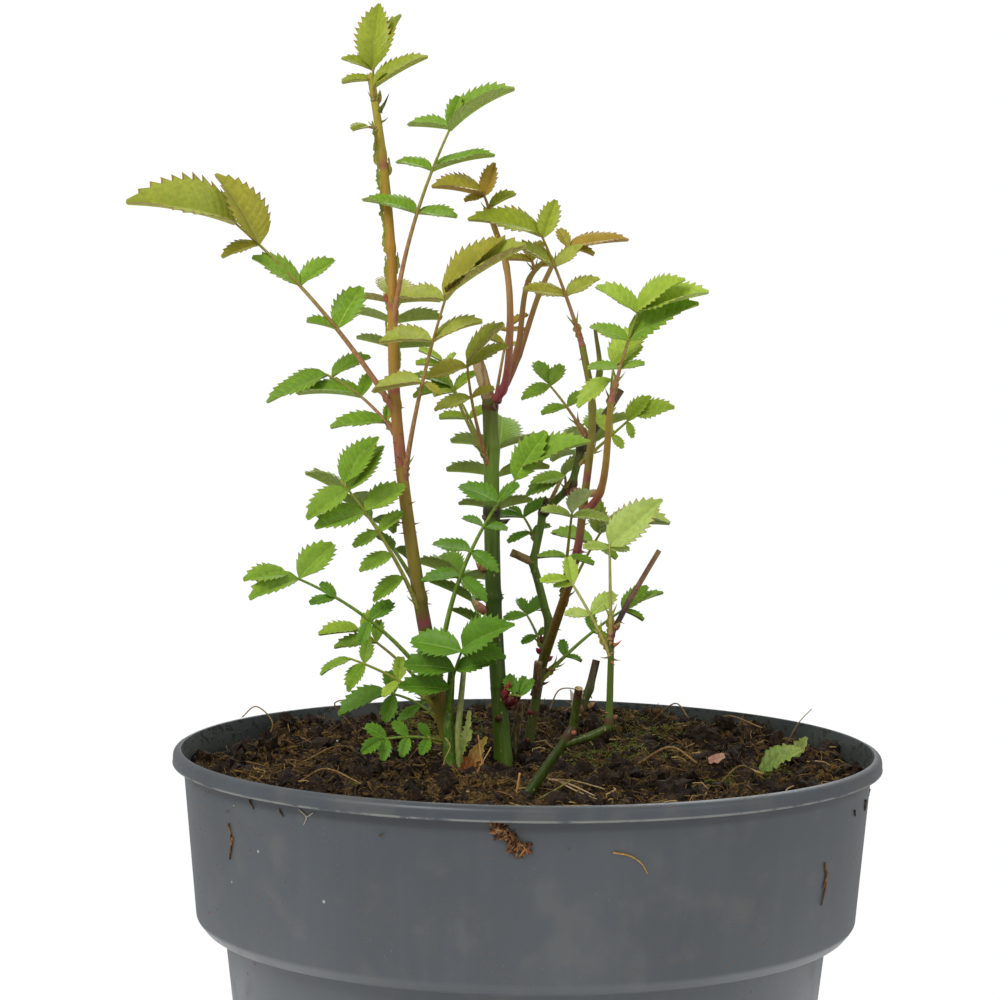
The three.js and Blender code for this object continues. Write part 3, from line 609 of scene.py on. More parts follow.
def tube(shape, path, radii, sides, tints=(1, 1, 1), tip_tone=0, domed=True):
    """A closed tube with the radius of each ring, or of each point of each ring, in mm."""
    rings = len(radii)
    centres, normals, sides_way = path.frames(rings)
    angles = np.linspace(0, TURN, sides, endpoint=False)[None, :, None]
    radii = np.asarray(radii, float).reshape(rings, -1, 1)
    around = normals[:, None] * np.cos(angles) + sides_way[:, None] * np.sin(angles)
    points = (centres[:, None] + around * radii).reshape(-1, 3)
    rise = radii[-1].mean() * (0.8 if domed else -0.15)
    head = centres[-1] + unit(centres[-1] - centres[-2]) * rise
    foot_number, last = rings * sides, (rings - 1) * sides
    faces = grid_faces(rings, sides, wrap=True)
    faces += [[foot_number, place, (place + 1) % sides] for place in range(sides)]
    tones = [0] * len(faces) + [tip_tone] * sides
    faces += [[foot_number + 1, last + (place + 1) % sides, last + place] for place in range(sides)]
    tints = np.asarray(tints, float)
    if tints.ndim == 2:
        tints = np.repeat(tints, sides, axis=0)
        tints = np.concatenate([tints, tints[:1], tints[-1:]])
    shape.add(np.concatenate([points, [centres[0], head]]), faces, tones, tints)


def add_skins(shape, above, below, tones=0, tints=(1, 1, 1)):
    """Two grids of points, one over the other, as one closed thin body: they share their outer ring."""
    rows, columns = above.shape[:2]
    number = np.full((rows, columns), -1)
    number[:, 0], number[:, -1] = np.arange(rows) * columns, np.arange(rows) * columns + columns - 1
    number[0], number[-1] = np.arange(columns), (rows - 1) * columns + np.arange(columns)
    inside = number < 0
    number[inside] = rows * columns + np.arange(inside.sum())
    points = np.concatenate([above.reshape(-1, 3), below[inside]])
    under = grid_faces(rows, columns, flip=True)
    faces = grid_faces(rows, columns) + [[int(number.flat[corner]) for corner in face] for face in under]
    tints = np.broadcast_to(np.asarray(tints, float), above.shape)
    shape.add(points, faces, tones, np.concatenate([tints.reshape(-1, 3), tints[inside]]))


def close_rings(shape, rows, low, high):
    """Rings of points about the Z axis as one closed body, with a point on the axis at each end."""
    count = len(rows[0])
    foot, last = len(rows) * count, (len(rows) - 1) * count
    faces = grid_faces(len(rows), count, wrap=True, flip=True)
    for place in range(count):
        after = (place + 1) % count
        faces += [[foot, after, place], [foot + 1, last + place, last + after]]
    shape.add(np.concatenate([*rows, [[0, 0, low], [0, 0, high]]]), faces)


def turned(shape, profile, segments):
    """A closed ring or bowl turned about the Z axis; the profile starts and ends on the axis."""
    angles = np.linspace(0, TURN, segments, endpoint=False)
    rows = [np.stack([r * np.cos(angles), r * np.sin(angles), np.full(segments, z)], axis=1)
            for r, z in profile[1:-1]]
    close_rings(shape, rows, profile[0][1], profile[-1][1])


def rounded(profile, reach):
    """The profile with its corners rounded by up to the reach in mm."""
    points = [np.asarray(point, float) for point in profile]
    made = [points[0]]
    for before, corner, after in zip(points, points[1:], points[2:]):
        cut = min(reach, np.linalg.norm(before - corner) * 0.45, np.linalg.norm(after - corner) * 0.45)
        start = corner + unit(before - corner) * cut
        end = corner + unit(after - corner) * cut
        for share in np.linspace(0, 1, 5):
            made.append(start * (1 - share) ** 2 + corner * 2 * share * (1 - share) + end * share ** 2)
    return [tuple(point) for point in [*made, points[-1]]]


# ---- Geometry Nodes ----

class Grower(Nodes):
    """A Geometry Nodes tree with named inputs, applied to one piece at a time."""

    def __init__(self, name, sizes):
        super().__init__(bpy.data.node_groups.new(name, "GeometryNodeTree"))
        face = self.tree.interface
        face.new_socket("Geometry", in_out="INPUT", socket_type="NodeSocketGeometry")
        for label, kind in sizes.items():
            face.new_socket(label, in_out="INPUT", socket_type="NodeSocket" + kind)
        face.new_socket("Geometry", in_out="OUTPUT", socket_type="NodeSocketGeometry")
        sockets = self.tree.nodes.new("NodeGroupInput").outputs
        self.given = {socket.name: Value(self, socket) for socket in sockets}

    def end(self, instances):
        whole = self.node("GeometryNodeRealizeInstances", {}, {"Geometry": instances})
        inputs = {"Geometry": whole, "Material": self.given["Material"]}
        whole = self.node("GeometryNodeSetMaterial", {}, inputs)
        self.feed(self.tree.nodes.new("NodeGroupOutput").inputs[0], whole)

    def grow(self, name, carrier, paint, sizes, slot):
        """What the tree grows on the carrier's mesh, as a plain piece of its own."""
        source = shown(bpy.data.objects.new(name + "_carrier", carrier.data))
        modifier = source.modifiers.new(name, "NODES")
        modifier.node_group = self.tree
        values = {**sizes, "Material": paint.material}
        for item in self.tree.interface.items_tree:
            if item.in_out == "INPUT" and item.name in values:
                modifier[item.identifier] = values[item.name]
        bpy.context.view_layer.update()
        evaluated = source.evaluated_get(bpy.context.evaluated_depsgraph_get())
        mesh = bpy.data.meshes.new_from_object(evaluated)
        source.modifiers.remove(modifier)
        bpy.data.objects.remove(source)
        mesh.name = name
        finish_piece(bpy.data.objects.new(name, mesh), ())


SCATTER_SIZES = {
    "Item": "Object",
    "Per square metre": "Float",
    "Smallest": "Float",
    "Largest": "Float",
    "Lean": "Float",
    "Upright": "Float",
    "Seed": "Int",
    "Cover": "String",
    "Material": "Material",
}


def scatter_tree():
    """Copies of an item strewn over a surface: flat and turned any way, or standing on it."""
    grower = Grower("strew", SCATTER_SIZES)
    given = grower.given
    lean, seed = given["Lean"], given["Seed"]
    cover = grower.node("GeometryNodeInputNamedAttribute", {"data_type": "FLOAT"}, {"Name": given["Cover"]})
    density = given["Per square metre"] * cover
    spread = grower.node("GeometryNodeDistributePointsOnFaces", {},
                         {"Mesh": given["Geometry"], "Density": density, "Seed": seed}, "Points")
    item = grower.node("GeometryNodeObjectInfo", {}, {"Object": given["Item"]}, "Geometry")
    low = grower.node("ShaderNodeCombineXYZ", {}, {0: lean * -1, 1: lean * -1, 2: 0})
    high = grower.node("ShaderNodeCombineXYZ", {}, {0: lean, 1: lean, 2: TURN})
    turn = grower.node("FunctionNodeRandomValue", {"data_type": "FLOAT_VECTOR"},
                       {"Min": low, "Max": high, "Seed": seed})
    turn = grower.node("FunctionNodeEulerToRotation", {}, {0: turn})
    stand = grower.node("FunctionNodeRotateRotation", {"rotation_space": "LOCAL"},
                        {0: spread.beside("Rotation"), 1: turn})
    rotation = grower.node("GeometryNodeSwitch", {"input_type": "ROTATION"},
                           {"Switch": given["Upright"] > 0.5, "False": turn, "True": stand})
    size = grower.node("FunctionNodeRandomValue", {"data_type": "FLOAT"},
                       {2: given["Smallest"], 3: given["Largest"], "Seed": seed}, 1)
    grower.end(grower.node("GeometryNodeInstanceOnPoints", {},
                           {"Points": spread, "Instance": item, "Rotation": rotation, "Scale": size}))
    return grower


def litter_sizes(item, amount, smallest, largest, lean, cover, seed, upright=0):
    """The inputs of the strewing tree: copies to the square metre, and their sizes in the item's own."""
    return {"Item": item, "Per square metre": float(amount), "Smallest": float(smallest),
            "Largest": float(largest), "Lean": float(lean), "Upright": float(upright), "Seed": seed,
            "Cover": cover}


def places_of(mesh):
    """The mesh's points in mm."""
    places = np.zeros(len(mesh.vertices) * 3)
    mesh.vertices.foreach_get("co", places)
    return places.reshape(-1, 3) / MM


def store(mesh, label, weights):
    mesh.attributes.new(label, "FLOAT", "POINT").data.foreach_set("value", weights)


# ---- Pot ----

def pot_wall_profile():
    """Half the wall in section, up the outside, over the lip and down the inside."""
    lip_foot = POT_HEIGHT - LIP_DEPTH
    outside = [
        (0, 0), (BASE_RADIUS - 2.5, 0), (BASE_RADIUS, 2.5), (LOWER_WALL_RADIUS, COLLAR_FOOT - 2.4),
        (COLLAR_FOOT_RADIUS - 2.6, COLLAR_FOOT - 1.4), (COLLAR_FOOT_RADIUS, COLLAR_FOOT + 1.8),
        (COLLAR_TOP_RADIUS, lip_foot + 0.2), (LIP_RADIUS - 0.9, lip_foot - 0.1),
        (LIP_RADIUS, lip_foot + 0.35), (LIP_RADIUS - 0.15, lip_foot + 0.8),
        (LIP_RADIUS - 0.25, POT_HEIGHT - 1.3), (LIP_RADIUS - 1.6, POT_HEIGHT)]
    inside = [
        (COLLAR_TOP_RADIUS + 0.7, POT_HEIGHT), (COLLAR_TOP_RADIUS - WALL, lip_foot - 3),
        (COLLAR_FOOT_RADIUS - WALL, COLLAR_FOOT + 2.5), (LOWER_WALL_RADIUS - WALL, COLLAR_FOOT + 0.5),
        (BASE_RADIUS - WALL, 2.5 + WALL), (BASE_RADIUS - WALL - 2.5, WALL), (0, WALL)]
    return rounded(outside, 0.8)[:-1] + rounded([outside[-1], *inside], 1.0)[1:]


def pot_plastic():
    """Slate grey moulded plastic with dust and mud specks, a painted highlight line along the lip's lower
    edge and a painted shadow band just under it.
    """
    paint = Paint("pot_plastic", Specular_IOR_Level=0.5)
    height = paint.coordinate(2)
    cloud = paint.grain(45, stretch=(1, 1, 0.45), detail=4)
    streak = paint.grain(5, stretch=(1, 1, 0.05), detail=3)
    body = paint.mix(cloud.above(0.52, 0.22), "#474c51", "#4f555a")
    body = paint.mix(streak.above(0.6, 0.14) * 0.14, body, "#5e6469")
    haze = paint.grain(14, detail=5).above(0.6, 0.12)
    body = paint.mix(haze * 0.16, body, "#857a6a")
    mud = paint.dots(4.2, 0.12) * paint.grain(60, detail=2).above(0.52, 0.12)
    fine_mud = paint.dots(1.9, 0.12) * paint.grain(38, detail=3).above(0.57, 0.08)
    body = paint.mix(mud * 0.85, body, "#6b4a30")
    body = paint.mix(fine_mud * 0.7, body, "#7a5636")
    flecks = paint.dots(16, 0.03, turn=(0.4, 0.9, 0.2))
    body = paint.mix(flecks * 0.6, body, "#c9ccca")
    chalk = paint.dots(2.4, 0.07, turn=(0.9, 0.3, 0.5)) * paint.grain(20, detail=2).above(0.56, 0.06)
    body = paint.mix(chalk * 0.4, body, "#8d9497")
    # Painted highlight: a broken pale line along the lip's lower edge, where light catches its rounded
    # edge.
    line = height.above((POT_HEIGHT - LIP_DEPTH - 0.1) * MM, 0.2 * MM) \
        * height.below((POT_HEIGHT - LIP_DEPTH + 0.75) * MM, 0.2 * MM)
    broken = paint.grain(7, detail=4).above(0.44, 0.08)
    body = paint.mix(line * broken * 0.5, body, "#a0a298")
    # Painted shadow: a darker band on the collar just under the lip.
    shade = height.above((POT_HEIGHT - LIP_DEPTH - 3) * MM, 0.8 * MM) \
        * height.below((POT_HEIGHT - LIP_DEPTH - 0.6) * MM, 0.5 * MM)
    body = paint.mix(shade * 0.45, body, "#34373a")
    paint.colour(body)
    paint.dull(0.36 + 0.12 * haze + 0.3 * mud + 0.06 * streak)
    paint.relief(paint.grain(0.9, detail=2) * 0.35 + cloud * 0.5 + streak * 0.2 + mud * 0.6, 0.12)
    return paint


def inner_plastic():
    """The same plastic inside, stained dark green and brown by wet soil."""
    paint = Paint("pot_inside", Specular_IOR_Level=0.4)
    stain = paint.grain(16, stretch=(1, 1, 0.4), detail=5).above(0.5, 0.12)
    body = paint.mix(stain, "#2f3836", "#3d423e")
    dirt = paint.grain(3, detail=4).above(0.6, 0.06)
    low = paint.coordinate(2).below((GROUND + 5) * MM, 2.5 * MM)
    body = paint.mix(dirt * (0.35 + 0.65 * low), body, "#2b2018")
    paint.colour(body)
    paint.dull(0.5 + 0.25 * dirt)
    return paint.relief(dirt + stain * 0.2, 0.3)


POT_SEGMENTS = 192


def make_pot():
    shape = Shape()
    profile = pot_wall_profile()
    turned(shape, profile, POT_SEGMENTS)
    top = max(range(len(profile)), key=lambda place: profile[place][1])
    shape.tones = [int(min(face) // POT_SEGMENTS > top) for face in shape.faces]
    shape.piece("pot_shell", [pot_plastic(), inner_plastic()], ["pot"], "pot_plastic", crease=40)


# ---- Soil ----

def soil_lump(x, y):
    """The lumps that the soil's solid has, level under each cane's foot."""
    waves = np.sin(x * 0.11 + 1.3) * np.cos(y * 0.13 - 0.4) + 0.6 * np.sin(x * 0.23 - y * 0.19 + 2.1)
    waves = waves + 0.004 * (x + 2 * y)
    feet = [cane["foot"] for cane in CANES.values() if "foot" in cane]
    nearest = np.min([np.hypot(x - foot[0], y - foot[1]) for foot in feet], axis=0)
    return waves * SOIL_LUMP * smooth(nearest, PAD_RADIUS, 2 * PAD_RADIUS)


def inner_radius_at(height):
    foot = COLLAR_FOOT + 2.5
    share = (height - foot) / (POT_HEIGHT - LIP_DEPTH - 3 - foot)
    return lerp(COLLAR_FOOT_RADIUS, COLLAR_TOP_RADIUS, share) - WALL


SOIL_EDGE = inner_radius_at(GROUND) - CLEARANCE
MOUND = dict(centre=(-16, -50), radius=26, height=4.5)
CLODS = 3.4
CRUMBS = 1.5
EDGE_DIP = 1.5
BACK_RISE = 3.2


def soil_height(x, y):
    """Height of the soil at a place, with its crumbly mound at the front and rough peat all over."""
    out = math.hypot(x - MOUND["centre"][0], y - MOUND["centre"][1])
    mound = MOUND["height"] * math.exp(-(out / MOUND["radius"]) ** 2 * 1.6)
    rough = CLODS * roughly((x, y, 0), 11, 4) + CRUMBS * abs(roughly((x, y, 40), 3.4, 3))
    rim = -EDGE_DIP * float(smooth(math.hypot(x, y), SOIL_EDGE - 12, SOIL_EDGE))
    rim += BACK_RISE * float(smooth(y, 10, 80))
    return GROUND + float(soil_lump(x, y)) + mound + rough + rim


def soil_paint(name, dark, mid, light):
    paint = Paint(name, Specular_IOR_Level=0.25)
    body = paint.mix(paint.grain(3.2, detail=5, warp=1.5).above(0.52, 0.12), dark, mid)
    body = paint.mix(paint.grain(0.9, detail=3).above(0.64, 0.06) * 0.7, body, light)
    damp = paint.grain(22, detail=3).above(0.56, 0.1)
    body = paint.mix(damp * 0.35, body, "#1c130d")
    paint.colour(body)
    paint.dull(0.9 - 0.18 * damp)
    return paint.relief(paint.grain(0.8, detail=5), 0.7)


SOIL_RINGS = 96
SOIL_SECTORS = 300
SOIL_BOTTOM = 5


def make_soil():
    """Rough peat filling the pot, closed underneath, with a cover attribute for what grows on it."""
    angles = np.linspace(0, TURN, SOIL_SECTORS, endpoint=False)
    deep = [(BASE_RADIUS - WALL - 0.5, SOIL_BOTTOM), (LOWER_WALL_RADIUS - WALL - 0.4, COLLAR_FOOT),
            (COLLAR_FOOT_RADIUS - WALL - 0.4, COLLAR_FOOT + 4)]
    rows = [[(r * math.cos(a), r * math.sin(a), z) for a in angles] for r, z in deep]
    for ring in range(SOIL_RINGS, 0, -1):
        radius = SOIL_EDGE * ring / SOIL_RINGS
        rows.append([(radius * math.cos(a), radius * math.sin(a),
                      soil_height(radius * math.cos(a), radius * math.sin(a))) for a in angles])
    shape = Shape()
    close_rings(shape, rows, SOIL_BOTTOM, soil_height(0, 0))
    paint = soil_paint("peat_soil", "#1f160e", "#4a3820", "#876a36")
    piece = shape.piece("peat", [paint], ["soil"], "soil", crease=180)
    lay_cover(piece.data)
    return piece


# The middle and radius of each patch of moss.
MOSS_PATCHES = [((60, -22), 15), ((24, 26), 16), ((-48, -34), 10), ((82, -4), 12), ((-30, 60), 20),
                ((40, 60), 18)]


def lay_cover(mesh):
    """Stores how thickly each kind of litter lies at each point of the soil's top."""
    places = places_of(mesh)
    x, y, z = places.T
    top = (z > GROUND - 12) * smooth(SOIL_EDGE - np.hypot(x, y), 0.5, 4)
    patchy = np.array([roughly((*place[:2], 7), 24, 3) for place in places])
    mound_out = np.hypot(x - MOUND["centre"][0], y - MOUND["centre"][1])
    mound = np.exp(-(mound_out / MOUND["radius"]) ** 2)
    moss = sum(np.exp(-(np.hypot(x - across, y - back) / radius) ** 2)
               for (across, back), radius in MOSS_PATCHES)
    store(mesh, "everywhere", top * (1 - 0.6 * np.clip(moss, 0, 1)))
    store(mesh, "litter", top * np.clip(0.55 + 0.7 * patchy, 0.05, 1.4))
    store(mesh, "crumbs", top * (0.35 + 1.6 * mound))
    store(mesh, "moss", top * np.clip(1.3 * moss + 0.5 * patchy - 0.35, 0, 1))


def crumb(name, seed, squash, roughness, detail=1):
    """A rough lump about 1 mm across, as an item to strew."""
    mesh = bpy.data.meshes.new(name)
    body = bmesh.new()
    bmesh.ops.create_icosphere(body, subdivisions=detail, radius=0.5)
    for vertex in body.verts:
        push = 1 + roughness * noise.noise(vertex.co * 3 + Vector((seed, 0, 0))) * 2
        vertex.co = Vector((vertex.co.x, vertex.co.y, vertex.co.z * squash)) * push * MM
    body.to_mesh(mesh)
    body.free()
    return item_object(name, mesh)


def item_object(name, mesh):
    """An object that exists only to be copied."""
    made = shown(bpy.data.objects.new(name, mesh))
    made.hide_render = True
    made.hide_viewport = True
    return made


def fibre(name, bends, radius):
    """A thin bent fibre 1 mm long, as an item to strew; bends are places across and up it."""
    shape = Shape()
    knots = [(place / (len(bends) - 1) - 0.5, across, up) for place, (across, up) in enumerate(bends)]
    tube(shape, through(knots, 12), radius * (1 - 0.6 * np.linspace(0, 1, 7)), 3)
    return shape.item(name)


def plain_paint(name, one, other, rough, size=2.0, relief=0.1, blur=0.16):
    """A dry natural finish between two colours."""
    paint = Paint(name, Specular_IOR_Level=0.3)
    mottle = paint.grain(size, detail=4)
    paint.colour(paint.mix(mottle.above(0.5, blur), one, other))
    paint.dull(rough + 0.1 * (mottle - 0.5))
    return paint.relief(mottle, relief)


def strew_soil(peat, strew):
    """Crumbs, peat fibres, dry roots, moss and white perlite over the soil."""
    round_crumb = crumb("round_crumb", 3, 0.75, 0.35)
    split_crumb = crumb("split_crumb", 11, 0.5, 0.5)
    curved = fibre("curved_fibre", [(0, 0), (0.1, 0.06), (0.12, 0.1), (0.02, 0.04)], 0.035)
    wavy = fibre("wavy_fibre", [(0, 0.02), (0.1, 0.12), (-0.06, 0.16), (0.05, 0.06), (0.12, 0)], 0.028)
    straight = fibre("straight_fibre", [(0, 0), (0.02, 0.05), (-0.03, 0.07), (0.02, 0.03)], 0.03)
    lump = crumb("peat_lump", 23, 0.6, 0.5, detail=2)
    tuft = fibre("moss_blade", [(0, 0), (0.04, 0.2), (0.02, 0.3)], 0.09)
    dark = soil_paint("dark_crumbs", "#1e150e", "#38281a", "#5f4a2c")
    brown = soil_paint("brown_crumbs", "#46341c", "#6e552c", "#957a42")
    tan = plain_paint("tan_fibre", "#6e5128", "#97743e", 0.65)
    rust = plain_paint("brown_fibre", "#4e391c", "#7d612a", 0.75)
    straw = plain_paint("straw_fibre", "#a58650", "#c2a468", 0.6)
    green = plain_paint("moss", "#4a5a1a", "#7a8230", 0.85)
    perlite = plain_paint("perlite", "#d8d4c8", "#efece4", 0.6, 0.6, 0.2)
    for name, paint, *litter in (
            ("peat_lumps", dark, lump, 9000, 3, 8.5, math.pi, "everywhere", 4),
            ("dark_peat_crumbs", dark, split_crumb, 110000, 1.2, 4.2, math.pi, "everywhere", 5),
            ("brown_peat_crumbs", brown, round_crumb, 120000, 0.9, 3.4, math.pi, "crumbs", 6),
            ("loose_peat_crumbs", brown, split_crumb, 60000, 0.8, 3, math.pi, "litter", 13),
            ("brown_fibres", rust, wavy, 100000, 3, 10, 0.7, "litter", 7),
            ("fine_brown_fibres", rust, curved, 85000, 2, 7, 1.1, "everywhere", 12),
            ("tan_fibres", tan, straight, 30000, 3, 11, 0.6, "litter", 8),
            ("straw_fibres", straw, wavy, 4500, 5, 15, 0.5, "litter", 9),
            ("moss_tufts", green, tuft, 900000, 1.4, 3.4, 0.9, "moss", 10),
            ("perlite_grains", perlite, round_crumb, 350, 0.7, 1.5, math.pi, "everywhere", 21)):
        strew.grow(name, peat, paint, litter_sizes(*litter), "soil")


# ---- Canes ----

def leaning(internode):
    length, right, back = internode
    way = np.array([math.tan(math.radians(right)), math.tan(math.radians(back)), 1.0])
    return unit(way) * length


def cane_paths():
    """The middle line of each cane, with the shares at which its joints lie."""
    paths = {}
    for name, cane in CANES.items():
        if "host" in cane:
            host = paths[cane["host"]]
            knots = [host.point(host.share_at(cane["at"]))]
        else:
            knots = [np.array([*cane["foot"], GROUND + CLEARANCE])]
        shares = [0.25, 0.75, 1] if cane.get("angular") else [1]
        for internode in cane["internodes"]:
            knots += [knots[-1] + leaning(internode) * share for share in shares]
        paths[name] = through(knots)
        paths[name].joints = [paths[name].reach[60 * place] / paths[name].length
                              for place in range(len(shares), len(knots) - 1, len(shares))]
    return paths


FLUSH = np.array(linear("#a4425a"))
FLUSH_STRENGTH = 0.68
SCAR_STRENGTH = 0.9


def cane_tints(cane, path, shares):
    """Bark colour of each ring, flushed pink at the joints that ask for it."""
    stops = [stop for stop, _ in cane["tints"]]
    colours = np.array([linear(code) for _, code in cane["tints"]])
    tints = np.stack([np.interp(shares, stops, colours[:, k]) for k in range(3)], axis=1)
    heights = path.point(shares)[:, 2]
    for height, spread in cane.get("rings", ()):
        flush = np.where(heights > height, np.exp(-((heights - height) / spread) ** 2),
                         np.exp(-((heights - height) / 0.9) ** 2))[:, None]
        tints = lerp(tints, FLUSH, FLUSH_STRENGTH * flush)
    for height, spread, _, code in cane.get("scars", ()):
        scar = np.exp(-((heights - height) / spread) ** 4)[:, None]
        tints = lerp(tints, np.array(linear(code)), SCAR_STRENGTH * scar)
    return tints


def cane_radius(cane, shares):
    """The cane's radius, which falls fastest near its foot."""
    return lerp(*cane["radius"], shares ** 0.55)


# Shares of the radius by which joints and feet stand out, and mm of ridges and of grit on the bark.
JOINT_SWELLING = 0.16
JOINT_GROOVE = 0.07
FOOT_FLARE = 0.3
DRY_BARK = (0.2, 0.16)
LIVE_BARK = (0.02, 0.02)


def bark_relief(cane, path, shares, angles):
    """How far each point of the bark stands out, in mm: joints, leaf scars and fine ridges."""
    radius = cane_radius(cane, shares)
    along = shares * path.length
    for joint in path.joints:
        apart = along - joint * path.length
        radius = radius + JOINT_SWELLING * radius * np.exp(-(apart / 1.7) ** 2)
        radius = radius - JOINT_GROOVE * radius * np.exp(-((apart + 1.6) / 0.35) ** 2)
    if "foot" in cane:
        radius = radius + FOOT_FLARE * radius * np.exp(-along / 5)
    for height, spread, swelling, _ in cane.get("scars", ()):
        apart = path.point(shares)[:, 2] - height
        radius = radius + swelling * np.exp(-(apart / spread) ** 2)
    ridged, gritty = DRY_BARK if "dry" in cane else LIVE_BARK

    def proud(centre, angle):
        x, y = math.cos(angle), math.sin(angle)
        ridge = roughly((3 * x, 3 * y, centre[2] * 0.12), 0.9, 3)
        grit = roughly((centre[0] + 4 * x, centre[1] + 4 * x, centre[2] + 4 * y), 1.1, 2)
        return ridged * ridge + gritty * grit

    return radius[:, None] + np.array([[proud(centre, angle) for angle in angles]
                                       for centre in path.point(shares)])


def bark_paint(name, gloss, fleck, lenticel, cracked=0):
    """Bark whose colour is stored along the cane, with pores and fine streaks."""
    paint = Paint(name, Specular_IOR_Level=0.28)
    tint = paint.stored("tint")
    streak = paint.grain(1.1, stretch=(1, 1, 0.09), detail=3)
    body = paint.mix(streak.above(0.55, 0.15) * 0.16, tint, tint, "MULTIPLY")
    body = paint.mix(streak.below(0.42, 0.08) * 0.05, body, "#d8c89a")
    patch = paint.grain(5, stretch=(1, 1, 0.5), detail=4).above(0.58, 0.08)
    body = paint.mix(patch * fleck, body, "#4a3a24")
    pores = paint.dots(2.6, lenticel, stretch=(1, 1, 0.6))
    body = paint.mix(pores * 0.7, body, "#b59a6a")
    height = streak * 0.4 + pores * 0.8
    if cracked:
        cracks = paint.grain(2.2, stretch=(1, 1, 0.35), detail=5, warp=1.2).below(0.42, 0.05)
        body = paint.mix(cracks * cracked, body, "#3e2c1c")
        height = height - cracks
    paint.colour(body)
    paint.dull(gloss + 0.15 * patch + 0.1 * streak)
    return paint.relief(height, 0.14)


RING_SPACING = 0.9
BARK_SIDES = 22


def make_canes(paths):
    green = bark_paint("green_bark", 0.36, 0.12, 0.11)
    young = bark_paint("young_bark", 0.4, 0.06, 0.05)
    dark = bark_paint("knotted_bark", 0.45, 0.25, 0.12, cracked=0.25)
    dead = bark_paint("dead_bark", 0.85, 0.5, 0.0, cracked=0.45)
    cut = plain_paint("cut_wood", "#8a6a48", "#c2a57a", 0.85, 0.8, 0.2, 0.14)
    finishes = {"old_cane": green, "front_cane": green, "front_arm": green, "zigzag_cane": dark,
                "dead_stub": dead, "zigzag_stub": dead, "front_stub": dark}
    angles = np.linspace(0, TURN, BARK_SIDES, endpoint=False)
    pieces = {}
    for name, cane in CANES.items():
        path = paths[name]
        shares = np.linspace(0, 1, max(6, round(path.length / RING_SPACING)))
        radii = bark_relief(cane, path, shares, angles)
        tints = cane_tints(cane, path, shares)
        is_cut = "cut" in cane
        shape = Shape()
        tube(shape, path, radii, BARK_SIDES, tints, tip_tone=int(is_cut), domed=not is_cut)
        slot = "dead_wood" if "stub" in name else "red_bark" if name.startswith("red") else "green_bark"
        pieces[name] = shape.piece(name + "_bark", [finishes.get(name, young), cut], [name], slot)
    return pieces


# ---- Leaves ----

def tipped(degrees):
    """Straight up, tipped to the front by some degrees."""
    return np.array([0, -math.sin(math.radians(degrees)), math.cos(math.radians(degrees))])


LEAFLET_WIDTH = (0.54, 0.64)
LEAFLET_CURL = (0.1, 0.5)


def leaf_plan(name, index, paths):
    """Where the parts of one compound leaf go: its stalk, then its leaflets from the base up."""
    host, at, to, bow, span, pairs, end_length, turn, face, lower, upper_tone = LEAVES[name]
    path = paths[host]
    start = path.point(path.share_at(at))
    stalk = arched(start, start + np.array(to, float), bow)
    random = chance(SEED + index)
    sky = tipped(face)
    level = tipped(TILTS.get(name, LEVELLING * face))

    def between(low, high):
        return low + (high - low) * random()

    def leaflet(place, swing, length, tone):
        swing = math.radians(swing)
        tangent = stalk.tangent(place)
        right = unit(np.cross(tangent, sky))
        along = unit(tangent * math.cos(swing) + right * math.sin(swing) + sky * between(-0.12, 0.04))
        upper = level + right * between(-0.25, 0.25)
        upper = unit(upper - along * upper.dot(along))
        return dict(root=stalk.point(place), along=along, upper=upper, length=length, tone=tone,
                    width=length * between(*LEAFLET_WIDTH), curl=between(*LEAFLET_CURL))

    leaflets = []
    for pair, sides in enumerate(pairs):
        place = lerp(*span, pair / (len(pairs) - 1) if len(pairs) > 1 else 1)
        tone = upper_tone if pair == len(pairs) - 1 else lower
        for side, length, swing in zip((-1, 1), sides[:2], sides[2:]):
            made = leaflet(place, side * (swing + between(-4, 4)), length, tone)
            if length > 0:
                leaflets.append(made)
    leaflets.append(leaflet(0.98, turn, end_length, upper_tone))
    return stalk, leaflets


# Shares of the half width at which a blade has points, and where a tooth's three rows lie along it.
BLADE_SHARES = np.array([0, 0.045, 0.3, 0.56, 0.8, 0.94, 1.0])
TOOTH_ROWS = (0, 0.70, 0.86)
TOOTH_DEPTH = 0.14
LEAFLET_THICKNESS = 0.24
VEIN_DEPTH = 0.008


def blade_grid(teeth, swell, narrow):
    """Station and half width, as shares, over one half of a toothed blade that swells from its foot
    and narrows to its tip. Its rows slant forward as side veins do, three to a tooth: the notch,
    the tip and just past the tip."""
    rows = np.array([(tooth + part) / teeth for tooth in range(teeth) for part in TOOTH_ROWS] + [1.0])
    kinds = np.array([0, 1, 2] * teeth + [0])
    outline = rows ** swell * (1 - rows) ** narrow
    outline = outline / outline.max()
    outline[0], outline[-1] = 0.05, 0.02
    at_rib = rows - 0.8 * rows * (1 - rows)
    jut = np.choose(kinds, [-1, 1, -0.2]) * TOOTH_DEPTH * np.minimum(1, outline / 0.5)
    jut[0] = jut[-1] = 0
    ahead = np.choose(kinds, [0, 0.42, 0.16]) / teeth
    shares = BLADE_SHARES[None, :]
    station = at_rib[:, None] + (rows - at_rib)[:, None] * shares ** 1.15 + ahead[:, None] * shares ** 6
    lateral = outline[:, None] * shares * (1 + jut[:, None] * shares ** 5)
    ridge = np.choose(kinds, [1.0, -0.5, -0.6])[:, None] * np.sin(np.pi * shares ** 0.8)
    return np.minimum(station, 1.0), lateral, ridge, kinds


# Grids for leaflets shorter than a length in mm: longer ones have more teeth and a longer point.
GRIDS = [(11, blade_grid(6, 0.72, 0.6)), (19, blade_grid(8, 0.68, 0.82)),
         (math.inf, blade_grid(11, 0.64, 1.0))]


# Degrees by which a blade is folded along its midrib, at least and how much more, and by which it twists.
LEAST_FOLD = 14
MORE_FOLD = 22
TWIST = 10


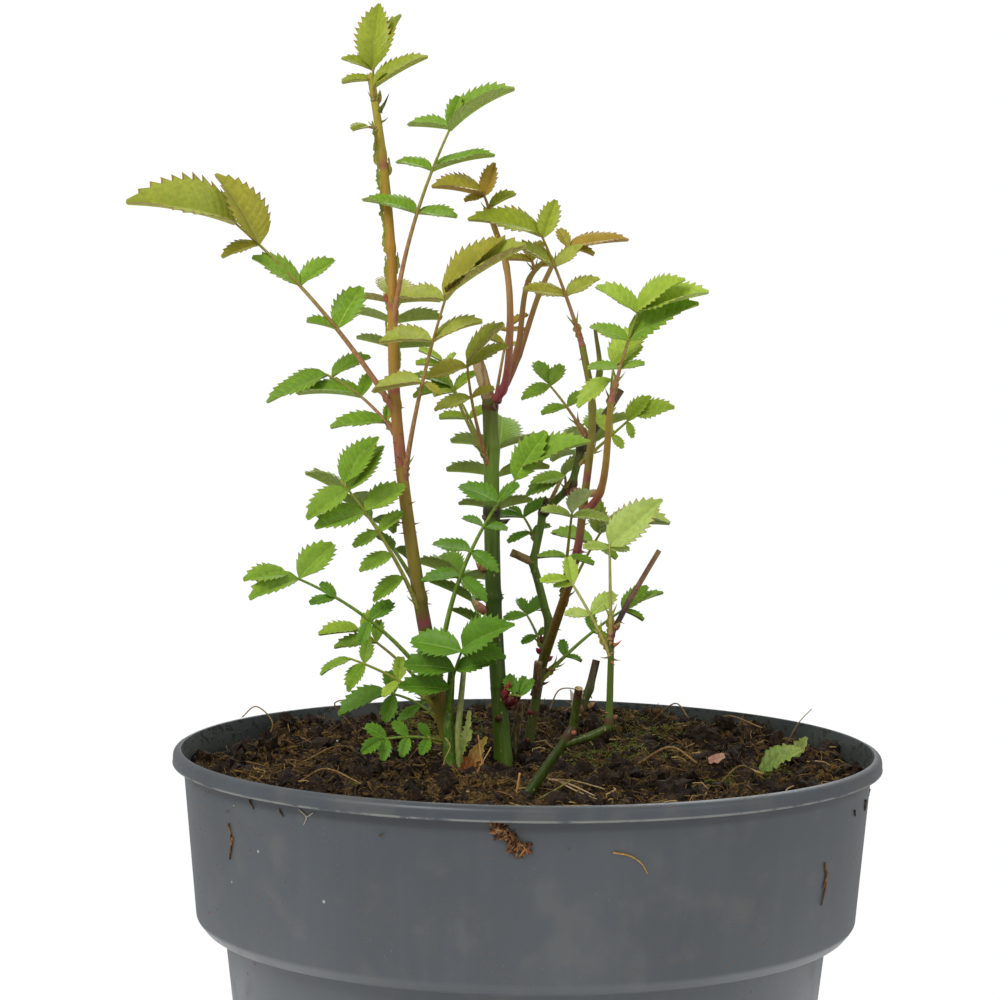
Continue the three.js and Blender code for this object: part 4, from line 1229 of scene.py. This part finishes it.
def blade_points(leaflet, grid, draw):
    """Points of the blade's upper and lower skins, in mm."""
    station, lateral, ridge, _ = grid
    length, width = leaflet["length"], leaflet["width"]
    across = np.cross(leaflet["upper"], leaflet["along"])
    fold = math.radians(LEAST_FOLD + MORE_FOLD * draw())
    curl = 0.5 * leaflet["curl"] * length
    twist = math.radians(-TWIST + 2 * TWIST * draw())
    wave = 0.025 * width * (0.4 + draw())
    phase = TURN * draw()
    skins = []
    for skin in (0, 1):
        halves = []
        for side in (-1, 1):
            out = lateral * width / 2
            crown = 0.07 * width * np.sin(np.pi * np.minimum(lateral, 1))
            rise = out * math.sin(fold) + crown * math.cos(fold)
            rise = rise + VEIN_DEPTH * width * ridge * (1 if skin == 0 else 0.9)
            rise = rise + wave * np.sin(9 * station + phase + side) * lateral ** 2
            level = out * math.cos(fold)
            angle = twist * station
            sideways = side * level * np.cos(angle) - rise * np.sin(angle)
            up = rise * np.cos(angle) + side * level * np.sin(angle)
            up = up + curl * (0.9 - station) * station
            if skin:
                keel = np.zeros_like(out)
                keel[:, 0] = 0.028 * width
                up = up - LEAFLET_THICKNESS - keel
            points = leaflet["root"] + station[..., None] * length * leaflet["along"] \
                + sideways[..., None] * across + up[..., None] * leaflet["upper"]
            halves.append(points)
        left, right = halves
        skins.append(np.concatenate([left[:, :0:-1], right], axis=1))
    return skins


def add_leaflet(shape, leaflet, draw):
    """A toothed, folded and arched leaflet: two skins that share their rim, foot and tip."""
    grid = next(grid for longest, grid in GRIDS if leaflet["length"] < longest)
    above, below = blade_points(leaflet, grid, draw)
    blade_tone = 0 if draw() < 0.55 else 1
    add_skins(shape, above, below, blade_tones(grid[3], above.shape[1], blade_tone))


def blade_tones(kinds, columns, blade_tone):
    """The material number of each face: blade, then underside, side veins, midrib and rim."""
    upper = []
    lower = []
    for kind in kinds[:-1]:
        for column in range(columns - 1):
            off_rib = min(abs(column - (columns - 1) // 2), abs(column + 1 - (columns - 1) // 2))
            at_rim = column in (0, columns - 2)
            if off_rib == 0:
                upper.append(4)
                lower.append(4)
            elif kind == 1 and not at_rim:
                upper.append(3)
                lower.append(4)
            else:
                upper.append(5 if at_rim else blade_tone)
                lower.append(2)
    return upper + lower


# Each leaf colour's part of the leaflet, its roughness and the depth of its cells in mm.
LEAF_PARTS = (("_blade", 0.42, 0.06), ("_lighter_blade", 0.45, 0.06), ("_underside", 0.6, 0.06),
              ("_vein", 0.45, 0.06), ("_rib", 0.5, 0.03), ("_rim", 0.5, 0.06))


def leaf_paint(name, code, rough, cells):
    """A plain leaf colour with a fine mottle, cell texture and a soft satin sheen."""
    paint = Paint(name, Specular_IOR_Level=0.22, Subsurface_Weight=0.12, Subsurface_Scale=0.0008)
    paint.shader.inputs["Subsurface Radius"].default_value = (0.9, 1.0, 0.2)
    mottle = paint.grain(1.4, detail=4)
    body = paint.mix(mottle.above(0.55, 0.16) * 0.7, code, shaded(code, 1.2))
    body = paint.mix(mottle.below(0.42, 0.12) * 0.7, body, shaded(code, 0.84))
    cloud = paint.grain(9, detail=2)
    paint.colour(paint.mix(cloud.below(0.46, 0.14) * 0.5, body, shaded(code, 0.8)))
    paint.dull(rough + 0.12 * (mottle - 0.5))
    return paint.relief(paint.grain(0.35, detail=2), cells)


def tinted_paint(name, rough):
    """A finish whose colour is stored in the mesh, streaked along its growth."""
    paint = Paint(name, Specular_IOR_Level=0.25)
    tint = paint.stored("tint")
    streak = paint.grain(0.8, stretch=(1, 1, 0.4), detail=3)
    body = paint.mix(streak.above(0.56, 0.12) * 0.3, tint, tint, "MULTIPLY")
    paint.colour(paint.mix(streak.below(0.42, 0.1) * 0.2, body, "#d8c890"))
    paint.dull(rough + 0.1 * streak)
    return paint.relief(streak, 0.06)


def add_stalk(shape, stalk, foot_tone, tip_tone):
    """A leaf stalk that is stouter the longer it is, swollen and flushed at its foot."""
    shares = np.linspace(0, 1, max(8, round(stalk.length / 1.2)))
    thick = 0.46 + 0.008 * stalk.length
    radius = lerp(thick, 0.36, shares ** 0.7) + 0.5 * thick * np.exp(-shares * stalk.length / 2.5)
    tints = graded(foot_tone, tip_tone, smooth(shares, 0.2, 0.95))
    tints = lerp(tints, FLUSH, 0.55 * np.exp(-shares * stalk.length / 5)[:, None])
    tube(shape, stalk, radius, 10, tints)


# Height above which the feet of the stalks are reddish.
REDDISH_ABOVE = 262


def make_leaves(paths):
    shapes = {tone: Shape() for tone in TONES}
    nodes = {tone: set() for tone in TONES}
    stalks = Shape()
    for index, name in enumerate(LEAVES):
        stalk, leaflets = leaf_plan(name, index, paths)
        finer = chance(SEED + 500 + index)
        reddish, greenish = TONES[LEAVES[name][-2]][6:]
        add_stalk(stalks, stalk, reddish if stalk.points[0][2] > REDDISH_ABOVE else greenish, greenish)
        for leaflet in leaflets:
            add_leaflet(shapes[leaflet["tone"]], leaflet, finer)
            nodes[leaflet["tone"]].add(name)
    for tone, shape in shapes.items():
        paints = [leaf_paint(tone + part, code, rough, relief)
                  for (part, rough, relief), code in zip(LEAF_PARTS, TONES[tone])]
        slot = "young_leaf" if tone in ("crown", "bronze", "olive") else "leaf"
        shape.piece(tone + "_leaflets", paints, sorted(nodes[tone]), slot, crease=75)
    stalks.piece("leaf_stalks", [tinted_paint("leaf_stalk", 0.42)], list(LEAVES), "leaf")


# ---- Buds, thorns, stipules and loose bits ----

# How the radius runs along each kind of spike.
SPIKES = {
    "thorn": [(0, 1.6), (0.12, 0.9), (0.5, 0.5), (1, 0.06)],
    "bud": [(0, 0.5), (0.25, 1), (0.6, 0.8), (1, 0.08)],
    "twig": [(0, 1.25), (0.12, 1), (0.9, 0.92), (1, 0.85)],
}

# Spikes on each cane: kind, height, turn (0 right, 90 back), degrees up from straight out, length, radius,
# and the colours of foot and tip.
GROWTHS = {
    "old_cane": [
        ("bud", 202, -30, 24, 8.0, 2.1, "#74222e", "#5c2a24"),
        ("bud", 203, -50, 55, 7.0, 1.5, "#8c2c3a", "#a8423c"),
        ("bud", 200.5, -10, 5, 5.0, 1.2, "#5c2424", "#8a4030"),
        ("bud", 197, -105, 20, 3.2, 1.3, "#4a2c1c", "#6a4428"),
        ("bud", 260.5, -15, 10, 4.4, 1.1, "#33251c", "#4a3424"),
        ("bud", 262, -140, 20, 2.6, 1.0, "#2e2219", "#5a4430"),
        ("bud", 264.5, -70, 30, 2.4, 1.0, "#3c2c20", "#6a523a"),
        ("bud", 245, 195, 30, 4.4, 1.3, "#7a4a30", "#a8794c"),
        ("bud", 246.5, 215, 50, 3.6, 1.0, "#8a5a3a", "#b48c5c"),
        ("bud", 231, 190, 42, 6.6, 1.6, "#9a3444", "#caa476"),
        ("bud", 297.5, -60, 40, 2.8, 1.4, "#7a4430", "#54402c"),
        ("bud", 299, -15, 60, 3.6, 1.6, "#8c4a48", "#7c6a34")],
    "zigzag_cane": [
        ("twig", 271, -20, 32, 9.0, 1.35, "#a06254", "#c49468"),
        ("bud", 270, -60, 10, 2.6, 1.3, "#5a3628", "#8a5c44"),
        ("bud", 264, 160, 35, 3.0, 1.1, "#3a2a1e", "#6a4a34"),
        ("bud", 284, -30, 25, 2.8, 1.0, "#2e241a", "#5a4632"),
        ("twig", 202, -112, 78, 10.5, 1.55, "#4c3824", "#7c5a3c"),
        ("bud", 216, 205, 25, 2.4, 1.0, "#a8244a", "#c03a5c"),
        ("bud", 214, -15, 30, 2.6, 1.0, "#b02850", "#c8405e"),
        ("thorn", 211, 0, 0, 5.0, 0.5, "#7a4430", "#b07c50"),
        ("thorn", 206, -5, 20, 2.6, 0.7, "#5a2026", "#7a3430"),
        ("bud", 196, -130, 20, 2.2, 0.9, "#7a2430", "#9c4034"),
        ("bud", 187, -110, 20, 2.2, 0.9, "#6a2028", "#8a3430"),
        ("bud", 219, 190, 60, 3.0, 0.8, "#6a2430", "#8c3c34")],
    "front_cane": [
        ("bud", 203, -60, 20, 2.0, 0.9, "#9c3a3c", "#b86050"),
        ("bud", 209, -100, 45, 3.2, 1.2, "#6a4c30", "#a07c50"),
        ("bud", 211, 0, 35, 3.0, 1.0, "#7c5a38", "#b08c5c"),
        ("bud", 212, 190, 60, 3.0, 0.9, "#a89880", "#c8bca4")],
    "front_shoot": [
        ("bud", 207, 0, 30, 2.0, 0.9, "#6a4028", "#9c6a44"),
        ("thorn", 229, 5, 25, 3.0, 0.7, "#a85c2c", "#d08c4c"),
        ("thorn", 225, 0, -10, 2.4, 0.35, "#8a5a3a", "#b4845a"),
        ("thorn", 225.5, 180, -5, 2.8, 0.35, "#8a5a3a", "#b4845a"),
        ("bud", 234, -80, 50, 3.0, 1.0, "#a8504c", "#8c8a3c")],
    "tall_cane": [
        ("bud", 205, -130, 62, 6.0, 1.6, "#7c9440", "#b43c3c"),
        ("thorn", 391.5, -10, 48, 6.0, 0.8, "#5a6420", "#3c4418"),
        ("bud", 394, 10, 70, 4.0, 0.9, "#b0764c", "#a08c3c"),
        ("thorn", 388, -20, 15, 3.0, 0.45, "#7a7428", "#5a5420"),
        ("bud", 331, 180, 60, 3.4, 0.9, "#b04a5c", "#a87a44"),
        ("thorn", 300, 180, 35, 5.0, 0.6, "#9c5440", "#a8843c")],
}

# Loose stems, roots and straws: points in mm, radius at the foot and the tip, and their colours.
STEMS = [
    ([(-23.6, -1.5, 180), (-25.2, -3, 197), (-24.4, -4, 214)], 2.3, 1.1, "#557a1e", "#4c6a20"),
    ([(-21, -3.4, 180), (-22, -4.6, 194), (-20.6, -4, 214)], 1.3, 0.85, "#8c9c4c", "#a4b06c"),
    ([(-5.6, 22, 180), (-3.8, 23, 190), (-1.7, 24, 200)], 1.7, 1.3, "#3e481a", "#56422a"),
    ([(-27.3, -15, 180.5), (-26, -15.5, 188), (-24.4, -15.5, 192), (-26, -15, 194.5)], 0.24, 0.16,
     "#a88c4c", "#c4a968"),
    ([(-13, -26, 180), (-14.4, -26, 189), (-15.6, -25, 197)], 0.3, 0.16, "#a87c44", "#c89c60"),
    ([(-18.5, -34, 180), (-15, -33, 188), (-11.5, -30, 194)], 0.3, 0.16, "#9c7840", "#c09a5a"),
    ([(-4.3, -58, 180), (-3.4, -58, 186), (-2.8, -58, 190.5)], 0.5, 0.3, "#a87a38", "#cc9c4c"),
    ([(1, -60, 182), (8, -60, 186), (13, -59, 189)], 0.45, 0.2, "#4c5c18", "#8a8430"),
    ([(6, -50, 187.5), (12, -52, 186.5), (20, -56, 183.5)], 0.34, 0.2, "#a0845a", "#c4ac80"),
    ([(8, -50, 187.5), (14, -55, 185), (21, -60, 183)], 0.3, 0.18, "#a88c60", "#cab48a"),
    ([(7, -50, 187.5), (14, -50, 187), (23, -52, 185)], 0.28, 0.16, "#a0845a", "#bca478"),
    ([(-88, 22, 184), (-84, 30, 192), (-90, 34, 197), (-94, 30, 194)], 0.3, 0.2, "#6a4c2c", "#9c7c4c"),
    ([(-60, 74, 185), (-66, 72, 193), (-58, 70, 195)], 0.3, 0.2, "#6a4c2c", "#9c7c4c"),
    ([(8, 84, 188), (12, 84, 197), (18, 82, 197), (17, 82, 194)], 0.3, 0.2, "#8a7048", "#b89c68"),
    ([(44, 78, 187), (52, 74, 194), (56, 68, 190)], 0.3, 0.2, "#6a4c2c", "#a07c4c"),
    ([(62, 60, 186), (68, 58, 192), (80, 52, 189)], 0.3, 0.2, "#7c5c34", "#a88450"),
    ([(86, 34, 185), (90, 30, 194), (94, 28, 199)], 0.26, 0.14, "#8a6840", "#b89660"),
    ([(36, 4, 184), (46, 0, 190), (54, -6, 186)], 0.55, 0.3, "#6a4e2a", "#a07c44"),
    ([(58, -36, 183), (66, -30, 189), (74, -26, 184)], 0.4, 0.25, "#54401f", "#8c7038"),
    ([(-52, 8, 184), (-60, 2, 189), (-72, 0, 184)], 0.4, 0.2, "#54401f", "#8a6c3c"),
    ([(-70, -30, 183), (-62, -38, 188), (-50, -44, 184)], 0.4, 0.2, "#6a5028", "#9c7c44"),
    ([(12.5, -53, 206), (14, -55, 212), (17, -56, 216), (18.6, -55, 213)], 0.4, 0.2, "#a07c64",
     "#c4a48c"),
]

# Loose scraps of leaf, stipule and dry scale: points along the middle, the way they face, half widths,
# colours and how ragged they are.
SCRAPS = [
    ([(-21, -5, 188), (-19.4, -6, 195), (-18.4, -6, 202)], (0, -1, 0.2), (0.6, 1.4, 1.2, 0.4), "#8a9c44",
     "#a8b860", 0.55),
    ([(-21.5, -6, 182), (-17.5, -8, 187), (-13, -8, 194)], (0.2, -1, 0.3), (1.0, 2.2, 1.8, 0.4),
     "#94402a", "#a89440", 0.3),
    ([(-18, -7, 181), (-15.6, -8, 186), (-14.4, -8, 190)], (0, -1, 0.1), (1.0, 1.8, 0.6), "#8c4426",
     "#a8803a", 0.35),
    ([(74, -8, 184), (80, -9, 189), (87, -8, 191)], (0, -1, 0.9), (1.2, 3.4, 3.0, 0.8), "#6c8c38",
     "#9cae58", 0.3),
    ([(86, 6, 187), (90, 5, 193)], (-0.2, -1, 0.4), (1.6, 2.0, 0.6), "#7c9440", "#a8b464", 0.35),
    ([(58, -2, 186), (63, -3, 188)], (0, -1, 0.8), (1.0, 1.8, 0.8), "#b8846c", "#caa088", 0.3),
    ([(14.5, -58, 208), (13.6, -58.5, 212), (12, -58, 216)], (0, -1, 0), (0.7, 1.0, 0.4), "#b0a488",
     "#d0c8b4", 0.5),
]


def add_spike(shape, kind, place, way, length, radius, foot, tip, sag=0.12):
    """A thorn, bud or twig that grows a way from a place, and curves up as it goes."""
    bend = np.array([0, 0, sag * length])
    path = through([place, place + way * length * 0.5 - bend * 0.3, place + way * length + bend], 12)
    shares = np.linspace(0, 1, 12)
    stops, sizes = zip(*SPIKES[kind])
    tints = graded(foot, tip, shares)
    if kind == "twig":
        tints[-1] = linear("#bc986c")
    if kind == "bud":
        tints = tints * (1 - 0.35 * (np.arange(12) % 4 == 3))[:, None]
    tube(shape, path, radius * np.interp(shares, stops, sizes), 8, tints, domed=kind != "twig")


CUPPED = 0.25
SCRAP_THICKNESS = 0.14


def add_scrap(shape, knots, faced, widths, foot, tip, ragged, draw):
    """A thin closed scrap along a spine, with ragged edges."""
    path = through(knots, 20)
    shares = np.linspace(0, 1, max(6, round(path.length / 0.6)))
    centres = path.point(shares)
    faced = unit(np.array(faced, float))
    sides = np.array([unit(np.cross(faced, way)) for way in np.gradient(centres, axis=0)])
    half = np.interp(shares, np.linspace(0, 1, len(widths)), widths)
    edges = np.array([[1 + ragged * (2 * draw() - 1), 1 + ragged * (2 * draw() - 1)] for _ in shares])
    across = np.linspace(-1, 1, 5)[None, :]
    out = across * half[:, None] * np.where(across < 0, edges[:, :1], edges[:, 1:])
    lift = CUPPED * across ** 2 * half[:, None]
    above = centres[:, None] + out[..., None] * sides[:, None] + lift[..., None] * faced
    tints = graded(foot, tip, shares)[:, None] * (1 - 0.2 * (across == 0))[..., None]
    add_skins(shape, above, above - SCRAP_THICKNESS * faced, 0, tints)


def on_bark(path, cane, height, turn):
    """A place just under the bark, with the way straight out of it and the way up the cane."""
    share = path.share_at(height)
    up = path.tangent(share)
    flat = np.array([math.cos(math.radians(turn)), math.sin(math.radians(turn)), 0])
    out = unit(flat - up * flat.dot(up))
    return path.point(share) + out * 0.7 * cane_radius(cane, share), out, up


def make_growths(paths):
    buds = Shape()
    for name, rows in GROWTHS.items():
        for kind, height, turn, rise, length, radius, foot, tip in rows:
            place, out, up = on_bark(paths[name], CANES[name], height, turn)
            rise = math.radians(rise)
            way = out * math.cos(rise) + up * math.sin(rise)
            add_spike(buds, kind, place, way, length, radius, foot, tip)
    buds.piece("buds_and_thorns", [tinted_paint("bud_scales", 0.5)], (), "red_bark")
    stems = Shape()
    for knots, thick, thin, foot, tip in STEMS:
        path = through(knots, 30)
        shares = np.linspace(0, 1, max(8, round(path.length)))
        tube(stems, path, lerp(thick, thin, shares), 8, graded(foot, tip, shares))
    stems.piece("loose_stems_and_roots", [tinted_paint("dry_stems", 0.6)], (), "dead_wood")
    scraps = Shape()
    draw = chance(SEED + 900)
    for knots, faced, widths, foot, tip, ragged in SCRAPS:
        add_scrap(scraps, knots, faced, widths, foot, tip, ragged, draw)
    scraps.piece("leaf_scraps", [tinted_paint("dry_leaf", 0.6)], (), "dead_wood", crease=70)


# Green fringes that cling to the tall cane: height, turn, length and half width.
FRINGES = [(318, 176, 9, 0.45), (327, 182, 9, 0.5), (336, 176, 10, 0.6), (345, 184, 10, 0.75),
           (354, 174, 11, 0.9), (364, 184, 11, 1.0), (373, 172, 10, 0.9), (381, 186, 8, 0.6),
           (308, 6, 9, 0.6), (316, 12, 8, 0.5), (340, 4, 7, 0.7), (371, 8, 6, 0.8), (300, 170, 8, 0.5)]


def make_stipules(paths):
    """The green wings at the foot of each leaf's stalk, and the ragged fringes on the tall cane."""
    shape = Shape()
    draw = chance(SEED + 950)
    for index, name in enumerate(LEAVES):
        stalk, _ = leaf_plan(name, index, paths)
        reach = min(8, 0.3 * stalk.length)
        knots = [stalk.point(at / stalk.length) for at in (0.8, 0.5 * reach, reach)]
        faced = tipped(LEAVES[name][8])
        add_scrap(shape, knots, faced, (0.7, 1.25, 1.35, 0.7), "#a07c4c", "#93a03c", 0.3, draw)
        across = unit(np.cross(faced, stalk.tangent(reach / stalk.length)))
        for side in (-1, 1):
            way = unit(stalk.tangent(reach / stalk.length) + side * 0.55 * across)
            add_spike(shape, "thorn", knots[-1] + side * 0.5 * across, way, 3.2, 0.42, "#93a03c", "#7e8e34")
    for height, turn, length, width in FRINGES:
        place, out, up = on_bark(paths["tall_cane"], CANES["tall_cane"], height, turn)
        middle = place + out * (0.35 + 0.6 * width) + up * length * 0.4
        knots = [place, middle, place + out * 0.9 + up * length]
        widths = (0.4, width, 0.8 * width, 0.2)
        add_scrap(shape, knots, np.cross(up, out), widths, "#a8a044", "#96a63e", 0.55, draw)
    shape.piece("stipules", [tinted_paint("stipule", 0.5)], (), "leaf", crease=70)


def grow_prickles(canes, strew):
    """Fine straight prickles on the canes that have them, thickest over a stretch of their height."""
    shape = Shape()
    foot, way = np.array([0, 0, -0.08]), np.array([0, 0, 1.0])
    add_spike(shape, "thorn", foot, way, 1.0, 0.16, "#808080", "#808080", sag=0)
    prickle = shape.item("prickle")
    paint = plain_paint("prickle", "#a0603c", "#b88a4c", 0.5, 1.0)
    stretches = {"tall_cane": (238, 300, 42000), "front_shoot": (206, 232, 30000),
                 "zigzag_cane": (214, 262, 16000), "red_shoot": (225, 262, 24000)}
    for seed, (name, (low, high, amount)) in enumerate(stretches.items()):
        heights = places_of(canes[name].data)[:, 2]
        thick = 0.08 + 0.92 * smooth(heights, low - 6, low) * (1 - smooth(heights, high, high + 6))
        store(canes[name].data, "prickly", thick)
        sizes = litter_sizes(prickle, amount, 0.9, 2.4, 0.35, "prickly", 40 + seed, upright=1)
        strew.grow(name + "_prickles", canes[name], paint, sizes, "red_bark")


def wall_point(turn, height, lift=0.2):
    """A place on the outside of the pot's collar."""
    share = (height - COLLAR_FOOT) / (POT_HEIGHT - LIP_DEPTH - COLLAR_FOOT)
    radius = lerp(COLLAR_FOOT_RADIUS, COLLAR_TOP_RADIUS, share) + lift
    turn = math.radians(turn)
    return np.array([radius * math.cos(turn), radius * math.sin(turn), height])


# Roots stuck to the outside of the pot: turns and heights along them, radius and colour.
WALL_ROOTS = [
    ([(-77.5, 176), (-75, 175), (-73, 172.5), (-72, 169.5)], 0.3, "#b08a4c"),
    ([(-127.6, 184), (-126.2, 182), (-126.8, 179.6)], 0.22, "#b4ac98"),
    ([(-124.8, 183.6), (-126.2, 182)], 0.2, "#b4ac98"),
    ([(-145.6, 175), (-145, 170), (-146, 164)], 0.4, "#55351c"),
    ([(-144.6, 171), (-145.4, 167.5)], 0.45, "#7a5030"),
    ([(-34.6, 165), (-33.6, 159), (-34.4, 152)], 0.35, "#6a4628"),
    ([(-33.4, 162), (-34.4, 157)], 0.3, "#8a6038"),
    ([(-16.6, 179), (-16.2, 175.4)], 0.3, "#2c2118"),
    ([(-15.4, 178.6), (-15.2, 175.8)], 0.3, "#2c2118"),
    ([(-24, 178), (-23.4, 176)], 0.3, "#3a2a1c"),
    ([(-139, 184), (-138, 181.5)], 0.3, "#5a3a22"),
    ([(-132, 183), (-131, 181)], 0.3, "#4a3220"),
]
CLUMP = dict(top=(-95.6, 184.5), foot=(-91, 176.5), strands=80)


def make_wall_roots():
    """Rootlets stuck to the pot, and the torn clump of them under the lip at the front."""
    shape = Shape()
    for places, radius, code in WALL_ROOTS:
        path = through([wall_point(turn, height) for turn, height in places], 12)
        tube(shape, path, radius * np.linspace(1, 0.6, 10), 6, linear(code))
    draw = chance(SEED + 970)
    for _ in range(CLUMP["strands"]):
        share = draw()
        turn = lerp(CLUMP["top"][0], CLUMP["foot"][0], share) + 1.4 * (draw() - 0.5) * (0.4 + 1.4 * share)
        height = lerp(CLUMP["top"][1], CLUMP["foot"][1], share) + 2.0 * (draw() - 0.5)
        swing = TURN * draw()
        reach = 0.8 + 1.6 * draw()
        lift = 0.3 + 1.5 * draw() * (0.4 + share)
        knots = [wall_point(turn - reach * 0.5 * math.cos(swing), height - reach * math.sin(swing), 0.2),
                 wall_point(turn, height, lift),
                 wall_point(turn + reach * 0.5 * math.cos(swing), height + reach * math.sin(swing), 0.3)]
        code = "#462c1a" if draw() < 0.4 else "#74492a" if draw() < 0.75 else "#a8713f"
        tube(shape, through(knots, 8), np.linspace(0.4, 0.16, 8), 6, linear(code))
    shape.piece("roots_on_pot", [tinted_paint("dry_roots", 0.75)], (), "soil")


# ---- Stage, light and camera ----

CAMERA_PLACE = (-9.57, -900, 327.9)
CAMERA_PITCH = 0.0656
CAMERA_ROLL = 0.0106
FOCAL_SHARE = 2.8319
SENSOR = 36
AIR_LIGHT = 0.44
AIR_SEEN = 1.02
FLOOR_GLOW = 0.5
FLOOR_RADIUS = 420
FLOOR_THICKNESS = 20

# Each soft lamp: its place and side in metres, and its power in watts. All are aimed at the plant.
LAMP_AIM = (0, 0, 0.25)
LAMPS = {"key_lamp": ((-1.1, -1.3, 1.7), 0.9, 26), "fill_lamp": ((1.5, -1.0, 0.9), 1.4, 5),
         "back_lamp": ((0.3, 1.6, 1.5), 1.0, 10)}


def make_camera():
    data = bpy.data.cameras.new("camera")
    data.sensor_width = SENSOR
    data.lens = SENSOR * FOCAL_SHARE
    data.clip_start = 0.05
    data.clip_end = 50
    camera = shown(bpy.data.objects.new("camera", data))
    turn = Matrix.Rotation(math.pi / 2 - CAMERA_PITCH, 4, "X") @ Matrix.Rotation(CAMERA_ROLL, 4, "Z")
    camera.matrix_world = Matrix.Translation(Vector(CAMERA_PLACE) * MM) @ turn
    bpy.context.scene.camera = camera


def make_lamp(name, place, side, power):
    data = bpy.data.lights.new(name, "AREA")
    data.shape = "SQUARE"
    data.size = side
    data.energy = power
    lamp = shown(bpy.data.objects.new(name, data))
    lamp.location = place
    lamp.rotation_euler = (Vector(LAMP_AIM) - Vector(place)).to_track_quat("-Z", "Y").to_euler()


def make_stage():
    """A pale round floor under white air, and three soft lamps."""
    shape = Shape()
    turned(shape, [(0, -FLOOR_THICKNESS), (FLOOR_RADIUS, -FLOOR_THICKNESS), (FLOOR_RADIUS, 0), (0, 0)], 96)
    mesh = shape.mesh("floor")
    paint = Paint("floor_paper", 0.9, Emission_Strength=FLOOR_GLOW)
    paint.feed(paint.shader.inputs["Emission Color"], "#ffffff")
    paint.colour(paint.mix(paint.grain(300, detail=2) * 0.1, "#f4f4f4", "#efefef"))
    mesh.materials.append(paint.material)
    floor = shown(bpy.data.objects.new("floor", mesh))
    world = bpy.data.worlds.new("white_air")
    bpy.context.scene.world = world
    world.use_nodes = True
    air = Nodes(world.node_tree)
    seen = air.node("ShaderNodeLightPath", {}, {}, "Is Camera Ray")
    strength = air.node("ShaderNodeMapRange", {}, {"Value": seen, "To Min": AIR_LIGHT, "To Max": AIR_SEEN})
    sky = world.node_tree.nodes["Background"].inputs
    air.feed(sky["Strength"], strength)
    air.feed(sky["Color"], "#ffffff")
    for name, lamp in LAMPS.items():
        make_lamp(name, *lamp)
    bpy.context.scene.view_settings.view_transform = "Standard"


# ---- The whole ----

make_camera()
make_stage()
make_pot()
strew = scatter_tree()
peat = make_soil()
strew_soil(peat, strew)
paths = cane_paths()
canes = make_canes(paths)
make_leaves(paths)
make_growths(paths)
make_stipules(paths)
grow_prickles(canes, strew)
make_wall_roots()
